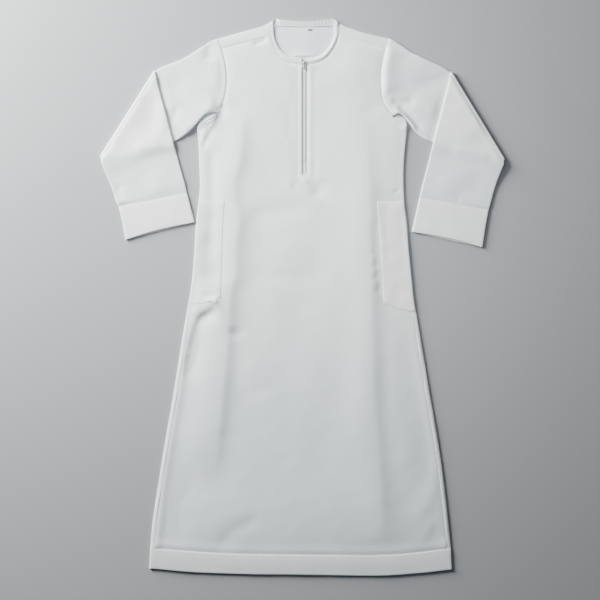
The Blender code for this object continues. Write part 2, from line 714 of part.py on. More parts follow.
def sleeve_rings(side):
    """Rings of a sleeve from its armhole, out to the elbow's crease, round it and back to the cuff."""
    rings = []
    count = ARMHOLE_STATIONS
    armhole = armhole_line(side, GAP)
    edge = SLEEVE_SPACE / 2 + CLOTH / 2
    upper = [across_points(row, count, edge) for row in side.upper]
    bulge = armhole - np.linspace(armhole[0], armhole[-1], count)
    lines = [armhole]
    for k, line in enumerate(upper[:-1]):
        lines.append(line + bulge * max(0.0, 1 - (k + 1) / 4.0) ** 1.5)
    crease = upper[-1]
    axis_from = Vector((crease[0][0], crease[0][1], 0))
    axis_to = Vector((crease[-1][0], crease[-1][1], 0))
    axis = (axis_to - axis_from).normalized()
    outside = Vector((axis.y, -axis.x, 0)) * (-side.sign)
    reach = CREASE_ROUND + SLEEVE_SPACE + CLOTH / 2
    inward = np.array([outside.x, outside.y]) * reach
    crease = crease - inward
    cover = np.array([side.forearm[0][:2], side.forearm[-1][:2]], float)
    for k, line in enumerate(lines):
        along = k / (len(lines) - 1)
        first = []
        for n, (x, y) in enumerate(line):
            free = ease((distance_to(cover, x, y)[0] * side.sign - 8) / 30)
            lift = swell_height(UPPER_SWELLS, along, n / (count - 1)) * free
            held = math.exp(-(k / 0.9) ** 2)
            height = SLEEVE_SPACE * (1 - held) + 2 * SIDE_ROUND * held + lift * (1 - held)
            first.append(REST + height)
        rings.append(ring(line, first, [REST] * count, 1))
    flat = ring(crease, [REST + SLEEVE_SPACE] * count, [REST] * count, 1)
    pivot_height = REST + SLEEVE_SPACE + CREASE_ROUND
    pivot = Vector((crease[0][0], crease[0][1], pivot_height))
    for turn in (0, 45, 90, 135, 180):
        spin = Matrix.Rotation(math.radians(turn) * side.sign, 3, axis)
        rings.append([(pivot + spin @ (point - pivot), spin @ out) for point, out in flat])
    hidden = np.array([(row.low_x, row.low_y) for row in side.upper[3:]], float)
    over_crease = REST + SLEEVE_SPACE + 2 * CREASE_ROUND
    over_flat = REST + SLEEVE_SPACE + CLOTH + GAP + 0.4
    crease_line = crease[[0, -1]]
    for k, row in enumerate(side.forearm):
        line = across_points(row, count, edge)
        along = (k + 1) / len(side.forearm)
        low = []
        high = []
        for n, (x, y) in enumerate(line):
            beyond = distance_to(hidden, x, y)[0] * side.sign
            from_crease = abs(distance_to(crease_line, x, y)[0])
            carried = over_flat + (over_crease - over_flat) * math.exp(-(from_crease / 22) ** 2)
            z = REST + (carried - REST) * (1 - ease((beyond - 22) / 45))
            low.append(z)
            lift = swell_height(FOREARM_SWELLS, along, n / (count - 1))
            high.append(z + SLEEVE_SPACE + lift * ease((1 - along) / 0.15))
        rings.append(ring(line, low, high, -1))
    return rings


def cuff_rings(side):
    """A cuff of doubled cloth, its upper layer a little short of the lower at the opening."""
    rings = []
    space = DOUBLE + GAP + 0.4
    seam = np.reshape(side.forearm[-1], (2, 2)).astype(float)
    seam = shift(seam, GAP * side.sign)
    for k, row in enumerate([SleeveRow(*seam.ravel())] + side.cuff):
        line = across_points(row, CUFF_STATIONS, space / 2 + DOUBLE / 2)
        low = [DOUBLE / 2] * CUFF_STATIONS
        high = [DOUBLE / 2 + space + 0.5 * math.sin(math.pi * n / (CUFF_STATIONS - 1))
                for n in range(CUFF_STATIONS)]
        points = ring(line, low, high, -1)
        if k == len(side.cuff):
            run = np.array(line[-1]) - np.array(line[0])
            back = Vector((-run[1], run[0], 0)).normalized() * side.sign
            start = CUFF_STATIONS + 3
            for n in range(CUFF_STATIONS):
                point, out = points[start + n]
                setback = 4.5 * math.sin(math.pi * n / (CUFF_STATIONS - 1))
                points[start + n] = (point + back * setback, out)
        rings.append(points)
    return rings


def hem_rings():
    """The turned-up hem, a flattened band right round the bottom."""
    rings = []
    count = HEM_STATIONS
    space = DOUBLE + GAP + 0.3
    inset = space / 2 + DOUBLE / 2
    seam = hem_line(1, inset)
    edge = hem_line(2, inset)
    edge[0][0] -= HEM_FLARE
    edge[-1][0] += HEM_FLARE
    for part in (0.0, 0.35, 0.8, 1.0):
        line = seam + (edge - seam) * part
        round_off = math.sin(math.pi * min(part + 0.12, 1.0)) * 0.7
        high = [DOUBLE / 2 + space + round_off * (1 + 0.5 * math.sin(n * 1.3)) for n in range(count)]
        rings.append(ring(line, high, [DOUBLE / 2] * count, 1))
    return rings


# ---------------------------------------------------------------- zip and tab


def prism(name, rings_of_points, colour):
    """A closed solid between two matching outlines."""
    first, second = rings_of_points
    count = len(first)
    faces = [list(range(count))[::-1], list(range(count, 2 * count))]
    faces += [[k, (k + 1) % count, count + (k + 1) % count, count + k] for k in range(count)]
    return make_object(name, list(first) + list(second), faces, colour)


def plate(name, outline, low, high, colour):
    """A flat plate between two heights."""
    return prism(name, [[(x, y, z) for x, y in outline] for z in (low, high)], colour)


def bar_along_y(name, profile, start, stop, colour):
    """A bar with an x, z profile."""
    return prism(name, [[(x, y, z) for x, z in profile] for y in (start, stop)], colour)


def bar_along_x(name, profile, start, stop, colour):
    """A bar with a y, z profile."""
    return prism(name, [[(x, y, z) for y, z in profile] for x in (start, stop)], colour)


def make_zip():
    """Tapes under the slit's edges, the closed coil between them, the slider and its pull."""
    tape_low = REST + CLOTH / 2 + GAP
    tape_high = tape_low + TAPE_THICK
    for name, sign in (("left", -1), ("right", 1)):
        inner = ZIP_X + sign * GAP / 2
        outer = ZIP_X + sign * TAPE_WIDTH
        narrow = ZIP_X + sign * (ZIP_WINDOW / 2 - GAP)
        outline = [(inner, ZIP_END - 14), (outer, ZIP_END - 14), (outer, TAPE_SHOULDER),
                   (narrow, TAPE_SHOULDER), (narrow, ZIP_TOP), (inner, ZIP_TOP)]
        plate("zip_tape_" + name, outline[::sign], tape_low, tape_high, WHITE_TAPE)
    coil_low = tape_high + GAP
    half = COIL_WIDTH / 2
    rounded = [(-half, 0.0), (half, 0.0), (half, 0.5), (half - 0.8, COIL_THICK),
               (0.8 - half, COIL_THICK), (-half, 0.5)]
    profile = [(ZIP_X + x, coil_low + z) for x, z in rounded]
    bar_along_y("zip_coil", profile, ZIP_END + 1.5, ZIP_TOP, WHITE_NYLON)
    slider_and_pull(coil_low)


def slider_and_pull(coil_low):
    """The slider sits over the coil at its top end.  Its arch holds the pull, which can swing."""
    top = coil_low + COIL_THICK + GAP
    deck = top + SLIDER_DECK
    arch = deck + GAP + PULL_THICK + GAP + ARCH_THICK
    y0, y1 = PIVOT_Y - SLIDER_LENGTH / 2, PIVOT_Y + SLIDER_LENGTH / 2
    wide = SLIDER_WIDTH / 2
    slot = COIL_WIDTH / 2 + GAP
    channel = [(-wide, coil_low), (-slot, coil_low), (-slot, top), (slot, top), (slot, coil_low),
               (wide, coil_low), (wide, deck), (-wide, deck)]
    body = bar_along_y("zip_slider", [(ZIP_X + x, z) for x, z in channel], y0, y1, WHITE_METAL)
    half = ARCH_WIDTH / 2
    span = ARCH_SPAN / 2
    leg = ARCH_THICK
    sunk = deck - SLIDER_DECK / 2
    side_view = [(-span, sunk), (-span + leg, sunk), (-span + leg, arch - leg),
                 (span - leg, arch - leg), (span - leg, sunk), (span, sunk), (span, arch - 0.4),
                 (span - 0.6, arch), (0.6 - span, arch), (-span, arch - 0.4)]
    arch_part = bar_along_x("slider_arch", [(PIVOT_Y + y, z) for y, z in side_view],
                            ZIP_X - half, ZIP_X + half, WHITE_METAL)
    join(body, arch_part)

    pivot = Vector((ZIP_X, PIVOT_Y, deck + GAP + PULL_THICK / 2)) * MM
    bar = PULL_BAR
    eye = half + GAP
    end = -PULL_LENGTH
    outline = [(-PULL_WIDTH / 2, bar), (-PULL_WIDTH / 2, end + 1.5), (1.5 - PULL_WIDTH / 2, end),
               (PULL_WIDTH / 2 - 1.5, end), (PULL_WIDTH / 2, end + 1.5), (PULL_WIDTH / 2, bar)]
    low, high = -PULL_THICK / 2, PULL_THICK / 2
    pull = plate("zip_pull", outline, low, high, WHITE_METAL)
    window = plate("eye_cutter", [(-eye, -bar), (-eye, -PULL_EYE), (eye, -PULL_EYE), (eye, -bar)],
                   low - 1, high + 1, WHITE_METAL)
    cut(pull, window)
    pull.location = pivot


def join(thing, other):
    """Fuse another object into a thing."""
    boolean(thing, other, "UNION")


def cut(thing, cutter):
    boolean(thing, cutter, "DIFFERENCE")


def boolean(thing, other, operation):
    """Apply a boolean with another object, and remove that object."""
    step = thing.modifiers.new("step", "BOOLEAN")
    step.operation = operation
    step.object = other
    bpy.context.view_layer.update()
    shaped = bpy.data.meshes.new_from_object(
        thing.evaluated_get(bpy.context.evaluated_depsgraph_get()))
    thing.modifiers.remove(step)
    thing.data = shaped
    bpy.data.objects.remove(other)


def make_tab():
    """A small bare grey tab sewn inside the back of the neck."""
    x, y = TAB_PLACE
    wide, tall, thick = TAB_SIZE
    low = REST + CLOTH / 2 + GAP
    outline = [(x - wide / 2, y - tall / 2), (x + wide / 2, y - tall / 2),
               (x + wide / 2, y + tall / 2), (x - wide / 2, y + tall / 2)]
    plate("size_tab", outline, low, low + thick, GREY_THREAD)


def main():
    for thing in list(bpy.data.objects):
        bpy.data.objects.remove(thing)
    make_back()
    make_front_and_pockets()
    make_neckband()
    for side in (LEFT, RIGHT):
        tube(sleeve_rings(side), CLOTH, "sleeve_" + side.name, WHITE_CLOTH)
        tube(cuff_rings(side), DOUBLE, "cuff_" + side.name, DOUBLED_CLOTH)
    tube(hem_rings(), DOUBLE, "hem", DOUBLED_CLOTH)
    make_zip()
    make_tab()


main()
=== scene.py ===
# %% [markdown]
# # A white robe, laid flat
#
# A thobe is a long plain robe. This one lies on its back with its front up, its zip closed and both
# sleeves folded in at the elbow. Each cell makes one piece or one finish. Sizes are in millimetres
# until a mesh is made, because a maker thinks of cloth and seams that way.

# %% Load the frame
import math
from collections import namedtuple

import bmesh
import bpy
import numpy as np
from mathutils import Matrix, Vector, kdtree
from mathutils.bvhtree import BVHTree
from mathutils.geometry import delaunay_2d_cdt


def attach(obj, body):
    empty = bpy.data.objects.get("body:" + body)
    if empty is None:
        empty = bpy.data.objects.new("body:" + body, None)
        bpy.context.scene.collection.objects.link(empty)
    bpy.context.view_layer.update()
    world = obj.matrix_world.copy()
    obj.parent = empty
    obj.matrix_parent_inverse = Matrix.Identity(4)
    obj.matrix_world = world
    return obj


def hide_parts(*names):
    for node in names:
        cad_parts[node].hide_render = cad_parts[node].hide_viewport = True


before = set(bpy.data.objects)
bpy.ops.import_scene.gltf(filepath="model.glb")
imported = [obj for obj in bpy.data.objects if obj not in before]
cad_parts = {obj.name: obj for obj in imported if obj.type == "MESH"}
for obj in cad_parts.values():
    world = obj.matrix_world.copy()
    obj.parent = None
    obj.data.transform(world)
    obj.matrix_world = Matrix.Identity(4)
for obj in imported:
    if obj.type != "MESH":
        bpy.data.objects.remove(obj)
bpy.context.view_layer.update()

MM = 0.001


def linked(name, data):
    """A new object in the scene, for a mesh, a lamp or a camera."""
    made = bpy.data.objects.new(name, data)
    bpy.context.scene.collection.objects.link(made)
    return made


def new_material(name, **values):
    """A material and its Principled shader, with constants set on the shader's own sockets."""
    material = bpy.data.materials.new(name)
    material.use_nodes = True
    shader = material.node_tree.nodes["Principled BSDF"]
    for label, value in values.items():
        shader.inputs[label.replace("_", " ")].default_value = value
    return material, shader


# %% [markdown]
# ## Camera, floor and light
#
# The robe lies on a floor, so the camera looks straight down. A long lens keeps its straight seams
# straight. One big soft lamp from the upper left models the folds, because light that grazes the cloth
# shows relief of a millimetre or two. A weaker, cooler light fills the shadows.

# %% Camera
VIEW_WIDTH = 1560.0        # width of floor that the picture takes in
CAMERA_HEIGHT = 2600.0
VIEW_CENTRE = (-6.5, -6.5)
SENSOR = 36.0

camera_data = bpy.data.cameras.new("overhead_camera")
camera_data.type = "PERSP"
camera_data.sensor_fit = "HORIZONTAL"
camera_data.sensor_width = SENSOR
camera_data.lens = SENSOR * CAMERA_HEIGHT / VIEW_WIDTH
camera_data.clip_end = 50.0
camera = linked("overhead_camera", camera_data)
camera.location = (VIEW_CENTRE[0] * MM, VIEW_CENTRE[1] * MM, CAMERA_HEIGHT * MM)
bpy.context.scene.camera = camera
print("camera lens", round(camera_data.lens, 1), "mm")

# %% Floor and lamps
FLOOR_HALF, FLOOR_LEVEL = 6.0, -0.0004     # in metres, like the places of the lamps
floor_mesh = bpy.data.meshes.new("floor")
floor_mesh.from_pydata([(x * FLOOR_HALF, y * FLOOR_HALF, FLOOR_LEVEL)
                        for x, y in ((-1, -1), (1, -1), (1, 1), (-1, 1))], [], [(0, 1, 2, 3)])
floor = linked("floor", floor_mesh)
floor_paint, _ = new_material("pale_floor", Base_Color=(0.323, 0.333, 0.347, 1), Roughness=0.9)
floor_mesh.materials.append(floor_paint)


def add_lamp(name, place, aim, size, power, colour):
    """A square soft lamp, in metres and watts, turned towards a point."""
    data = bpy.data.lights.new(name, "AREA")
    data.shape = "SQUARE"
    data.size = size
    data.energy = power
    data.color = colour
    lamp = linked(name, data)
    lamp.location = place
    lamp.rotation_euler = (Vector(aim) - Vector(place)).to_track_quat("-Z", "Y").to_euler()
    return lamp


add_lamp("window_light", place=(-2.0, 1.56, 0.73), aim=(0.08, 0.39, 0.0),
         size=1.1, power=392.0, colour=(1.0, 0.99, 0.98))
add_lamp("overhead_fill", place=(0.02, 0.3, 0.6), aim=(-0.02, 0.15, 0.0),
         size=0.8, power=3.1, colour=(0.96, 0.98, 1.0))

world = bpy.data.worlds.new("soft_room")
world.use_nodes = True
room = world.node_tree.nodes["Background"].inputs
room["Color"].default_value = (0.76, 0.89, 1.0, 1)
room["Strength"].default_value = 0.11
bpy.context.scene.world = world

# %% [markdown]
# ## Lines and distances
#
# Every piece of a garment is drawn with curves: outlines, seams and folds. A Catmull-Rom curve passes
# through the points that it is given, so a short table of measured points is enough. The other helpers
# move a curve sideways, as a maker adds a seam allowance, and measure how far a place is from a seam.

# %% Curve helpers


def smooth(points, steps=8):
    """Points on a Catmull-Rom curve through the given ones, with some steps to each stretch."""
    track = np.array(points, float)
    track = np.vstack([2 * track[0] - track[1], track, 2 * track[-1] - track[-2]])
    line = []
    for a, b, c, d in zip(track, track[1:], track[2:], track[3:]):
        for t in np.arange(steps) / steps:
            line.append(0.5 * (2 * b + (c - a) * t + (2 * a - 5 * b + 4 * c - d) * t ** 2
                               + (3 * b - a - 3 * c + d) * t ** 3))
    return np.array(line + [track[-2]])


def lengths(line):
    """Distance along a line to each of its points."""
    return np.concatenate([[0], np.cumsum(np.linalg.norm(np.diff(line, axis=0), axis=1))])


def stretch(line, start=0.0, stop=None, step=4.0, count=None):
    """The part of a line between two distances along it, with evenly spaced points."""
    along = lengths(line)
    stop = along[-1] if stop is None else stop
    count = count or max(int(round((stop - start) / step)), 1) + 1
    at = np.linspace(start, stop, count)
    return np.column_stack([np.interp(at, along, column) for column in np.transpose(line)])


def shift(line, distance):
    """The line moved to its right, as it runs, by one distance or one for each point."""
    line = np.array(line, float)
    runs = np.diff(line, axis=0)
    sides = np.column_stack([runs[:, 1], -runs[:, 0]])
    sides /= np.linalg.norm(sides, axis=1)[:, None]
    before = np.vstack([sides[:1], sides])
    both = before + np.vstack([sides, sides[-1:]])
    both /= np.sum(both * before, axis=1)[:, None]
    return line + both * np.reshape(distance, (-1, 1))


def ease(value):
    """0 to 1 with soft ends."""
    value = np.clip(value, 0, 1)
    return value * value * (3 - 2 * value)


def hump(value, width):
    """1 where the value is 0, falling softly to nothing on both sides."""
    return np.exp(-(value / width) ** 2)


def away_from(line, places):
    """For many places: signed distance from a line, plus to its right, and distance along it."""
    best = np.full(len(places), 1e9)
    along = np.zeros(len(places))
    travelled = 0.0
    for start, run in zip(line[:-1], np.diff(line, axis=0)):
        length = math.hypot(*run)
        offset = places - start
        part = np.clip(offset @ run / length ** 2, 0, 1)
        apart = offset - part[:, None] * run
        far = np.hypot(apart[:, 0], apart[:, 1])
        signed = np.where(run[1] * offset[:, 0] < run[0] * offset[:, 1], -far, far)
        near = far < np.abs(best)
        best = np.where(near, signed, best)
        along = np.where(near, travelled + length * part, along)
        travelled += length
    return best, along


def sway(places, wave, seed):
    """Smooth unevenness from -1 to 1 over a plane, with waves of about the given length."""
    random = np.random.default_rng(seed)
    total = np.zeros(len(places))
    for _ in range(6):
        turn = random.uniform(0, 2 * math.pi)
        size = wave * random.uniform(0.7, 1.5)
        run = places @ np.array([math.cos(turn), math.sin(turn)])
        total += np.sin(2 * math.pi * run / size + random.uniform(0, 2 * math.pi))
    return total / 3.5


def table(kind, *rows):
    """Rows of numbers with named columns."""
    return [kind(*row) for row in rows]


print("a curve through 3 points has", len(smooth([(0, 0), (1, 1), (2, 0)])), "points")

# %% [markdown]
# ## The cut
#
# The robe's own measures: its sides, hem, neck, armholes, sleeves and pockets, as they came to lie.
# They are the same that the solid frame is made from, so the cloth lies where the frame is.

# %% Measures of the cut
SEAM_FORWARD = 11.0        # the back wraps this far round to the front along the skirt
SEAM_EDGE = 4.2            # and this far beside the chest
SHOULDER_FORWARD = 28.0    # and this far over each shoulder
SIDE_ROUND = 1.3
BED = 0.6                  # middle of a layer on the floor
LAID = 2.1                 # middle of a layer that lies on another
SIDE_LEVEL = BED + 2 * SIDE_ROUND
SEAM_GAP = 0.15
ZIP_X = 4.0
ZIP_WINDOW = 12.5
WINDOW_LEFT, WINDOW_RIGHT = -1.9, 10.9
ZIP_END = 321.0
ZIP_TOP = 616.0
PLACKET_HALF = 17.0
PLACKET_END = 300.0
POCKET_TOP = 250.0
POCKET_SETBACK = 3.0       # the pocket's mouth, in from the side's outline

SideRow = namedtuple("SideRow", "y left right")
SIDES = table(
    SideRow,
    (444, -275.0, 273.0), (400, -270.0, 268.0), (345, -268.0, 263.5), (290, -266.5, 263.0),
    (240, -271.0, 266.0), (190, -277.0, 272.0), (125, -280.5, 277.0), (45, -287.0, 285.0),
    (-10, -295.5, 291.0), (-110, -313.0, 308.0), (-190, -325.5, 321.0), (-270, -338.5, 334.5),
    (-370, -356.0, 352.0), (-475, -373.0, 367.0), (-580, -389.0, 379.0), (-651, -395.5, 386.0)
)
HemRow = namedtuple("HemRow", "x seam edge")
HEM = table(
    HemRow,
    (-395.5, -651, -704), (-300, -659, -713), (-180, -666, -718.5), (20, -669, -722.5),
    (200, -670, -723.2), (306, -662, -717), (386, -651, -706)
)
NeckRow = namedtuple("NeckRow", "x y in_x in_y")
NECK_FRONT = table(
    NeckRow,
    (-81, 688, -74, 686), (-77, 667, -70, 668), (-67, 641, -59, 646.5), (-49, 621, -41, 631),
    (-27, 609.5, -21.5, 624.5), (4, 604.5, 4, 623), (37, 609.5, 31, 624.5), (61, 622, 52.5, 633),
    (78, 642, 67.5, 649.5), (89.5, 664, 77.5, 668), (94.5, 681, 82, 682)
)
NECK_BACK = table(
    NeckRow,
    (95.2, 697, 82.2, 694), (93, 710, 81, 701), (86.5, 719, 79, 704.5), (77.5, 723.5, 74, 705.5),
    (62, 721, 60, 705.5), (6, 716.5, 6, 703.5), (-50, 720, -47, 705), (-69, 723.5, -64, 706),
    (-77.5, 713, -72, 704), (-81, 700, -74, 697)
)

# %% Measures of each sleeve and pocket
SleeveRow = namedtuple("SleeveRow", "top_x top_y low_x low_y")
Side = namedtuple("Side", "name sign armhole shoulder seam lens upper forearm cuff pocket_in pocket_low")
LEFT = Side(
    name="left", sign=-1,
    armhole=[(-219, 672), (-208.5, 642), (-199, 601), (-196.5, 558), (-205, 510), (-221, 481)],
    shoulder=[(-219, 672), (-165, 687.5), (-110, 702.5), (-78, 718)],
    seam=(-92, 678),
    lens=[(-225, 476), (-239, 471.5), (-255, 461.5), (-267, 451.5)],
    upper=table(
        SleeveRow,
        (-238, 664.5, -241, 480.5), (-260, 650, -259, 470), (-285, 634, -276.5, 450.5),
        (-313, 618, -302, 426), (-342, 606.5, -342, 403), (-368, 597, -430, 386),
        (-385, 589, -526.5, 365.5)),
    forearm=table(
        SleeveRow,
        (-377, 558, -521, 350), (-366, 517, -514, 332), (-353, 468, -505, 309), (-339, 415, -496, 287),
        (-322, 353, -486, 259), (-308, 303, -481, 244), (-299.5, 270, -478, 236)),
    cuff=table(
        SleeveRow,
        (-292, 242, -470, 206), (-280.5, 196, -460, 150.5)),
    pocket_in=[(-202, 250), (-207, 170), (-212, 0)],
    pocket_low=[(-212, 0), (-250, -14), (-280, -17)],
)
RIGHT = Side(
    name="right", sign=1,
    armhole=[(224, 673), (215, 645), (206.5, 604), (203.5, 562), (208.5, 515), (221, 488), (235, 471)],
    shoulder=[(224, 673), (166, 686), (115, 703), (98, 713)],
    seam=(110, 676),
    lens=[(236, 465.5), (246, 467), (257, 463.5), (266, 456), (270, 447)],
    upper=table(
        SleeveRow,
        (240, 664.5, 248, 478.5), (263, 649.5, 264, 470), (286, 634, 279, 452), (318, 618, 301, 424),
        (345, 606, 342, 402), (368, 595.5, 432, 381), (388, 587, 526.5, 358.5)),
    forearm=table(
        SleeveRow,
        (380, 556, 522, 345), (369.5, 517, 514.5, 326), (357, 468, 506, 304), (343, 416, 499, 283),
        (326, 345, 491, 254), (312, 290, 486, 236), (303, 257.5, 484, 227.5)),
    cuff=table(
        SleeveRow,
        (295.5, 222, 476.5, 186), (284, 171, 468, 130.5)),
    pocket_in=[(193, 250), (200, 160), (211, -15)],
    pocket_low=[(211, -15), (245, -27), (275, -36)],
)
BOTH = (LEFT, RIGHT)
print("sides:", LEFT.name, RIGHT.name)

# %% [markdown]
# ## Seam lines
#
# A seam is one line that two pieces share. Each is worked out once here, and both pieces take their
# edge from it, a little apart, so that they meet all along. This is how a pattern is drafted too.

# %% Seam lines


def skirt_part(y):
    """0 beside the chest and pockets, 1 down the skirt."""
    return ease((-25 - y) / 70)


def side_line(side, inset=0.0):
    """A side of the body from the armpit to the hem seam, moved in from its outline."""
    column = 1 if side is LEFT else 2
    return shift(smooth([(row[column], row.y) for row in SIDES]), np.multiply(inset, side.sign))


def side_seam(side, extra=0.0):
    """The side seam, at the edge down to the pocket's end and further forward along the skirt."""
    forward = SEAM_EDGE + (SEAM_FORWARD - SEAM_EDGE) * skirt_part(side_line(side)[:, 1])
    return side_line(side, forward + extra)


def hem_line(column, lift=0.0):
    """The hem seam (column 1) or the hem's edge (2) from the left side to the right."""
    line = smooth([(row.x, row[column]) for row in HEM], 24)
    return line + (0, lift)


def on_hem(point, lift=0.0):
    """The point moved up or down onto the hem seam."""
    line = hem_line(1, lift)
    return point[0], np.interp(point[0], line[:, 0], line[:, 1])


def armhole_line(side, start, distance=0.0, count=None):
    """The armhole from a distance below the shoulder fold to the armpit."""
    line = smooth(side.armhole)
    stop = lengths(line)[-1] - SIDE_ROUND - BED
    return shift(stretch(line, start, stop, 4.0, count), -distance * side.sign)


def shoulder_seam(side, drop=0.0):
    """The shoulder seam, from the armhole to the neckband."""
    neck = np.array(NECK_FRONT[0 if side is LEFT else -1][:2], float)
    corner = armhole_line(side, SHOULDER_FORWARD)[0]
    line = np.array([corner, side.seam, neck + (0.5 * side.sign, 0)])
    return shift(stretch(line), -drop * side.sign)


def neck_front_lines():
    """The neckband's edges round the front, split at the zip: the left part and the right."""
    rows = smooth(NECK_FRONT, 6)
    low = rows[np.abs(rows[:, 0] - ZIP_X) < 40]
    parts = []
    for sign in (-1, 1):
        edge = ZIP_X + sign * ZIP_WINDOW / 2
        part = rows[(rows[:, 0] - edge) * sign > 1.5]
        end = [[edge, np.interp(edge, low[:, 0], low[:, 1]),
                edge, np.interp(edge, low[:, 0], low[:, 3])]]
        parts.append(np.vstack([part, end] if sign < 0 else [end, part]))
    return parts


def chain(*stretches):
    """Stretches joined end to end, with points that nearly coincide left out."""
    line = np.vstack(stretches)
    keep = [0]
    for k in range(1, len(line)):
        if math.dist(line[k], line[keep[-1]]) > 0.8:
            keep.append(k)
    if math.dist(line[keep[-1]], line[0]) < 0.8:
        keep.pop()
    return line[keep]


print("armhole length", round(lengths(armhole_line(LEFT, 0))[-1]), "mm")

# %% [markdown]
# ## Cloth as a shell
#
# Cloth is thin but never without thickness: a fold's edge catches light. Each piece is first made as
# points in the middle of the cloth, filled with small triangles, and then given its two faces and the
# rims between them. The seams' own rows of points let the cloth round over at its edges. Each point
# also keeps its place in the flat cut, as a UV map in metres, which the weave follows.

# %% Cloth helpers
CLOTH_THICK = 0.7
DOUBLE_THICK = 1.3


def inside(outline, places):
    """Which places lie inside an outline."""
    odd = np.zeros(len(places), bool)
    x, y = places.T
    for (ax, ay), (bx, by) in zip(outline, np.roll(outline, -1, axis=0)):
        if ay != by:
            odd ^= ((ay > y) != (by > y)) & (x < (bx - ax) * (y - ay) / (by - ay) + ax)
    return odd


def apart_from(kept, places, distance):
    """Those of the places that are at least a distance away from all the kept ones."""
    tree = kdtree.KDTree(len(kept))
    for k, (x, y) in enumerate(kept):
        tree.insert((x, y, 0), k)
    tree.balance()
    return np.array([p for p in places if tree.find((p[0], p[1], 0))[2] >= distance]).reshape(-1, 2)


def fill(outline, spacing, edge_rows=(1.2, 3.2), guides=()):
    """Triangles that fill an outline, in rows along its edge and along guide lines, then in a grid."""
    outline = np.array(outline)
    kept = outline
    closed = np.vstack([outline, outline[:1]])
    rows = [shift(closed, -inset)[:-1] for inset in edge_rows]
    for inset, row in zip(edge_rows, rows):
        row = row[inside(outline, row)]
        kept = np.vstack([kept, apart_from(kept, row, inset * 0.8)])
    for guide in guides:
        row = guide[inside(outline, guide)]
        kept = np.vstack([kept, apart_from(kept, row, 0.9)])
    low, high = outline.min(axis=0), outline.max(axis=0)
    grid = []
    for k, y in enumerate(np.arange(low[1], high[1], spacing * 0.87)):
        xs = np.arange(low[0] + spacing * 0.5 * (k % 2), high[0], spacing)
        grid.append(np.column_stack([xs, np.full(len(xs), y)]))
    grid = np.vstack(grid)
    grid = apart_from(kept, grid[inside(outline, grid)], spacing * 0.6)
    kept = np.vstack([kept, grid])
    border = list(range(len(outline)))
    verts, _, faces, origins, _, _ = delaunay_2d_cdt([Vector(p) for p in kept], [], [border], 1, 1e-5)
    places = np.array(verts)
    faces = np.array(faces)
    a, b, c = places[faces[:, 0]], places[faces[:, 1]], places[faces[:, 2]]
    turn = (b - a)[:, 0] * (c - a)[:, 1] - (b - a)[:, 1] * (c - a)[:, 0]
    faces[turn < 0] = faces[turn < 0][:, ::-1]
    where = {source: k for k, sources in enumerate(origins) for source in sources}
    return places, faces[np.abs(turn) > 1e-9], [where[k] for k in border]


def shell(name, middle, faces, thick, cut, layers=0.3, out=(0, 0, 1)):
    """A closed shell of cloth. middle and cut are in millimetres, and out points to its first face.

    layers runs from 0 to 1: how much cloth lies under each point, which makes it whiter. On the front, the
    hem band and the left pocket it also paints shade: a low value gives the darker, cooler tone.
    """
    middle = np.array(middle, float)
    out = np.array(np.broadcast_to(out, middle.shape), float)
    out = out / np.linalg.norm(out, axis=1)[:, None]
    half = np.reshape(thick, (-1, 1)) / 2
    count = len(middle)
    points = np.vstack([middle + out * half, middle - out * half]) * MM
    faces = [list(map(int, face)) for face in faces]
    pairs = {(a, b) for face in faces for a, b in zip(face, face[1:] + face[:1])}
    rims = sorted((a, b) for a, b in pairs if (b, a) not in pairs)
    faces = (faces + [[k + count for k in reversed(face)] for face in faces]
             + [[a, a + count, b + count, b] for a, b in rims])
    mesh = bpy.data.meshes.new(name)
    mesh.from_pydata(points.tolist(), [], faces)
    layer = mesh.uv_layers.new(name="cut")
    corners = np.zeros(len(mesh.loops), int)
    mesh.loops.foreach_get("vertex_index", corners)
    layer.data.foreach_set("uv", (np.vstack([cut, cut])[corners] * MM).ravel())
    # The layers attribute holds how packed the cloth is, and on the front, the hem band and the left pocket
    # painted shade as well.
    packed = mesh.attributes.new("layers", "FLOAT", "POINT")
    packed.data.foreach_set("value", np.tile(np.broadcast_to(layers, count), 2).astype(np.float32))
    mesh.validate()
    mesh.shade_smooth()
    mesh.set_sharp_from_angle(angle=math.radians(50))
    piece = linked(name, mesh)
    print(f"{name}: {len(mesh.polygons)} faces")
    return piece


def rows_of_quads(rows, closed):
    """Faces between rows of point numbers, each row closed into a ring or open."""
    faces = []
    for low, high in zip(rows, rows[1:]):
        for k in range(len(low) if closed else len(low) - 1):
            n = (k + 1) % len(low)
            faces.append([low[k], low[n], high[n], high[k]])
    return faces


def grid_faces(count, wide, closed=False):
    """Faces between points that are numbered row by row, some to each row."""
    return rows_of_quads(np.arange(count).reshape(-1, wide).tolist(), closed)
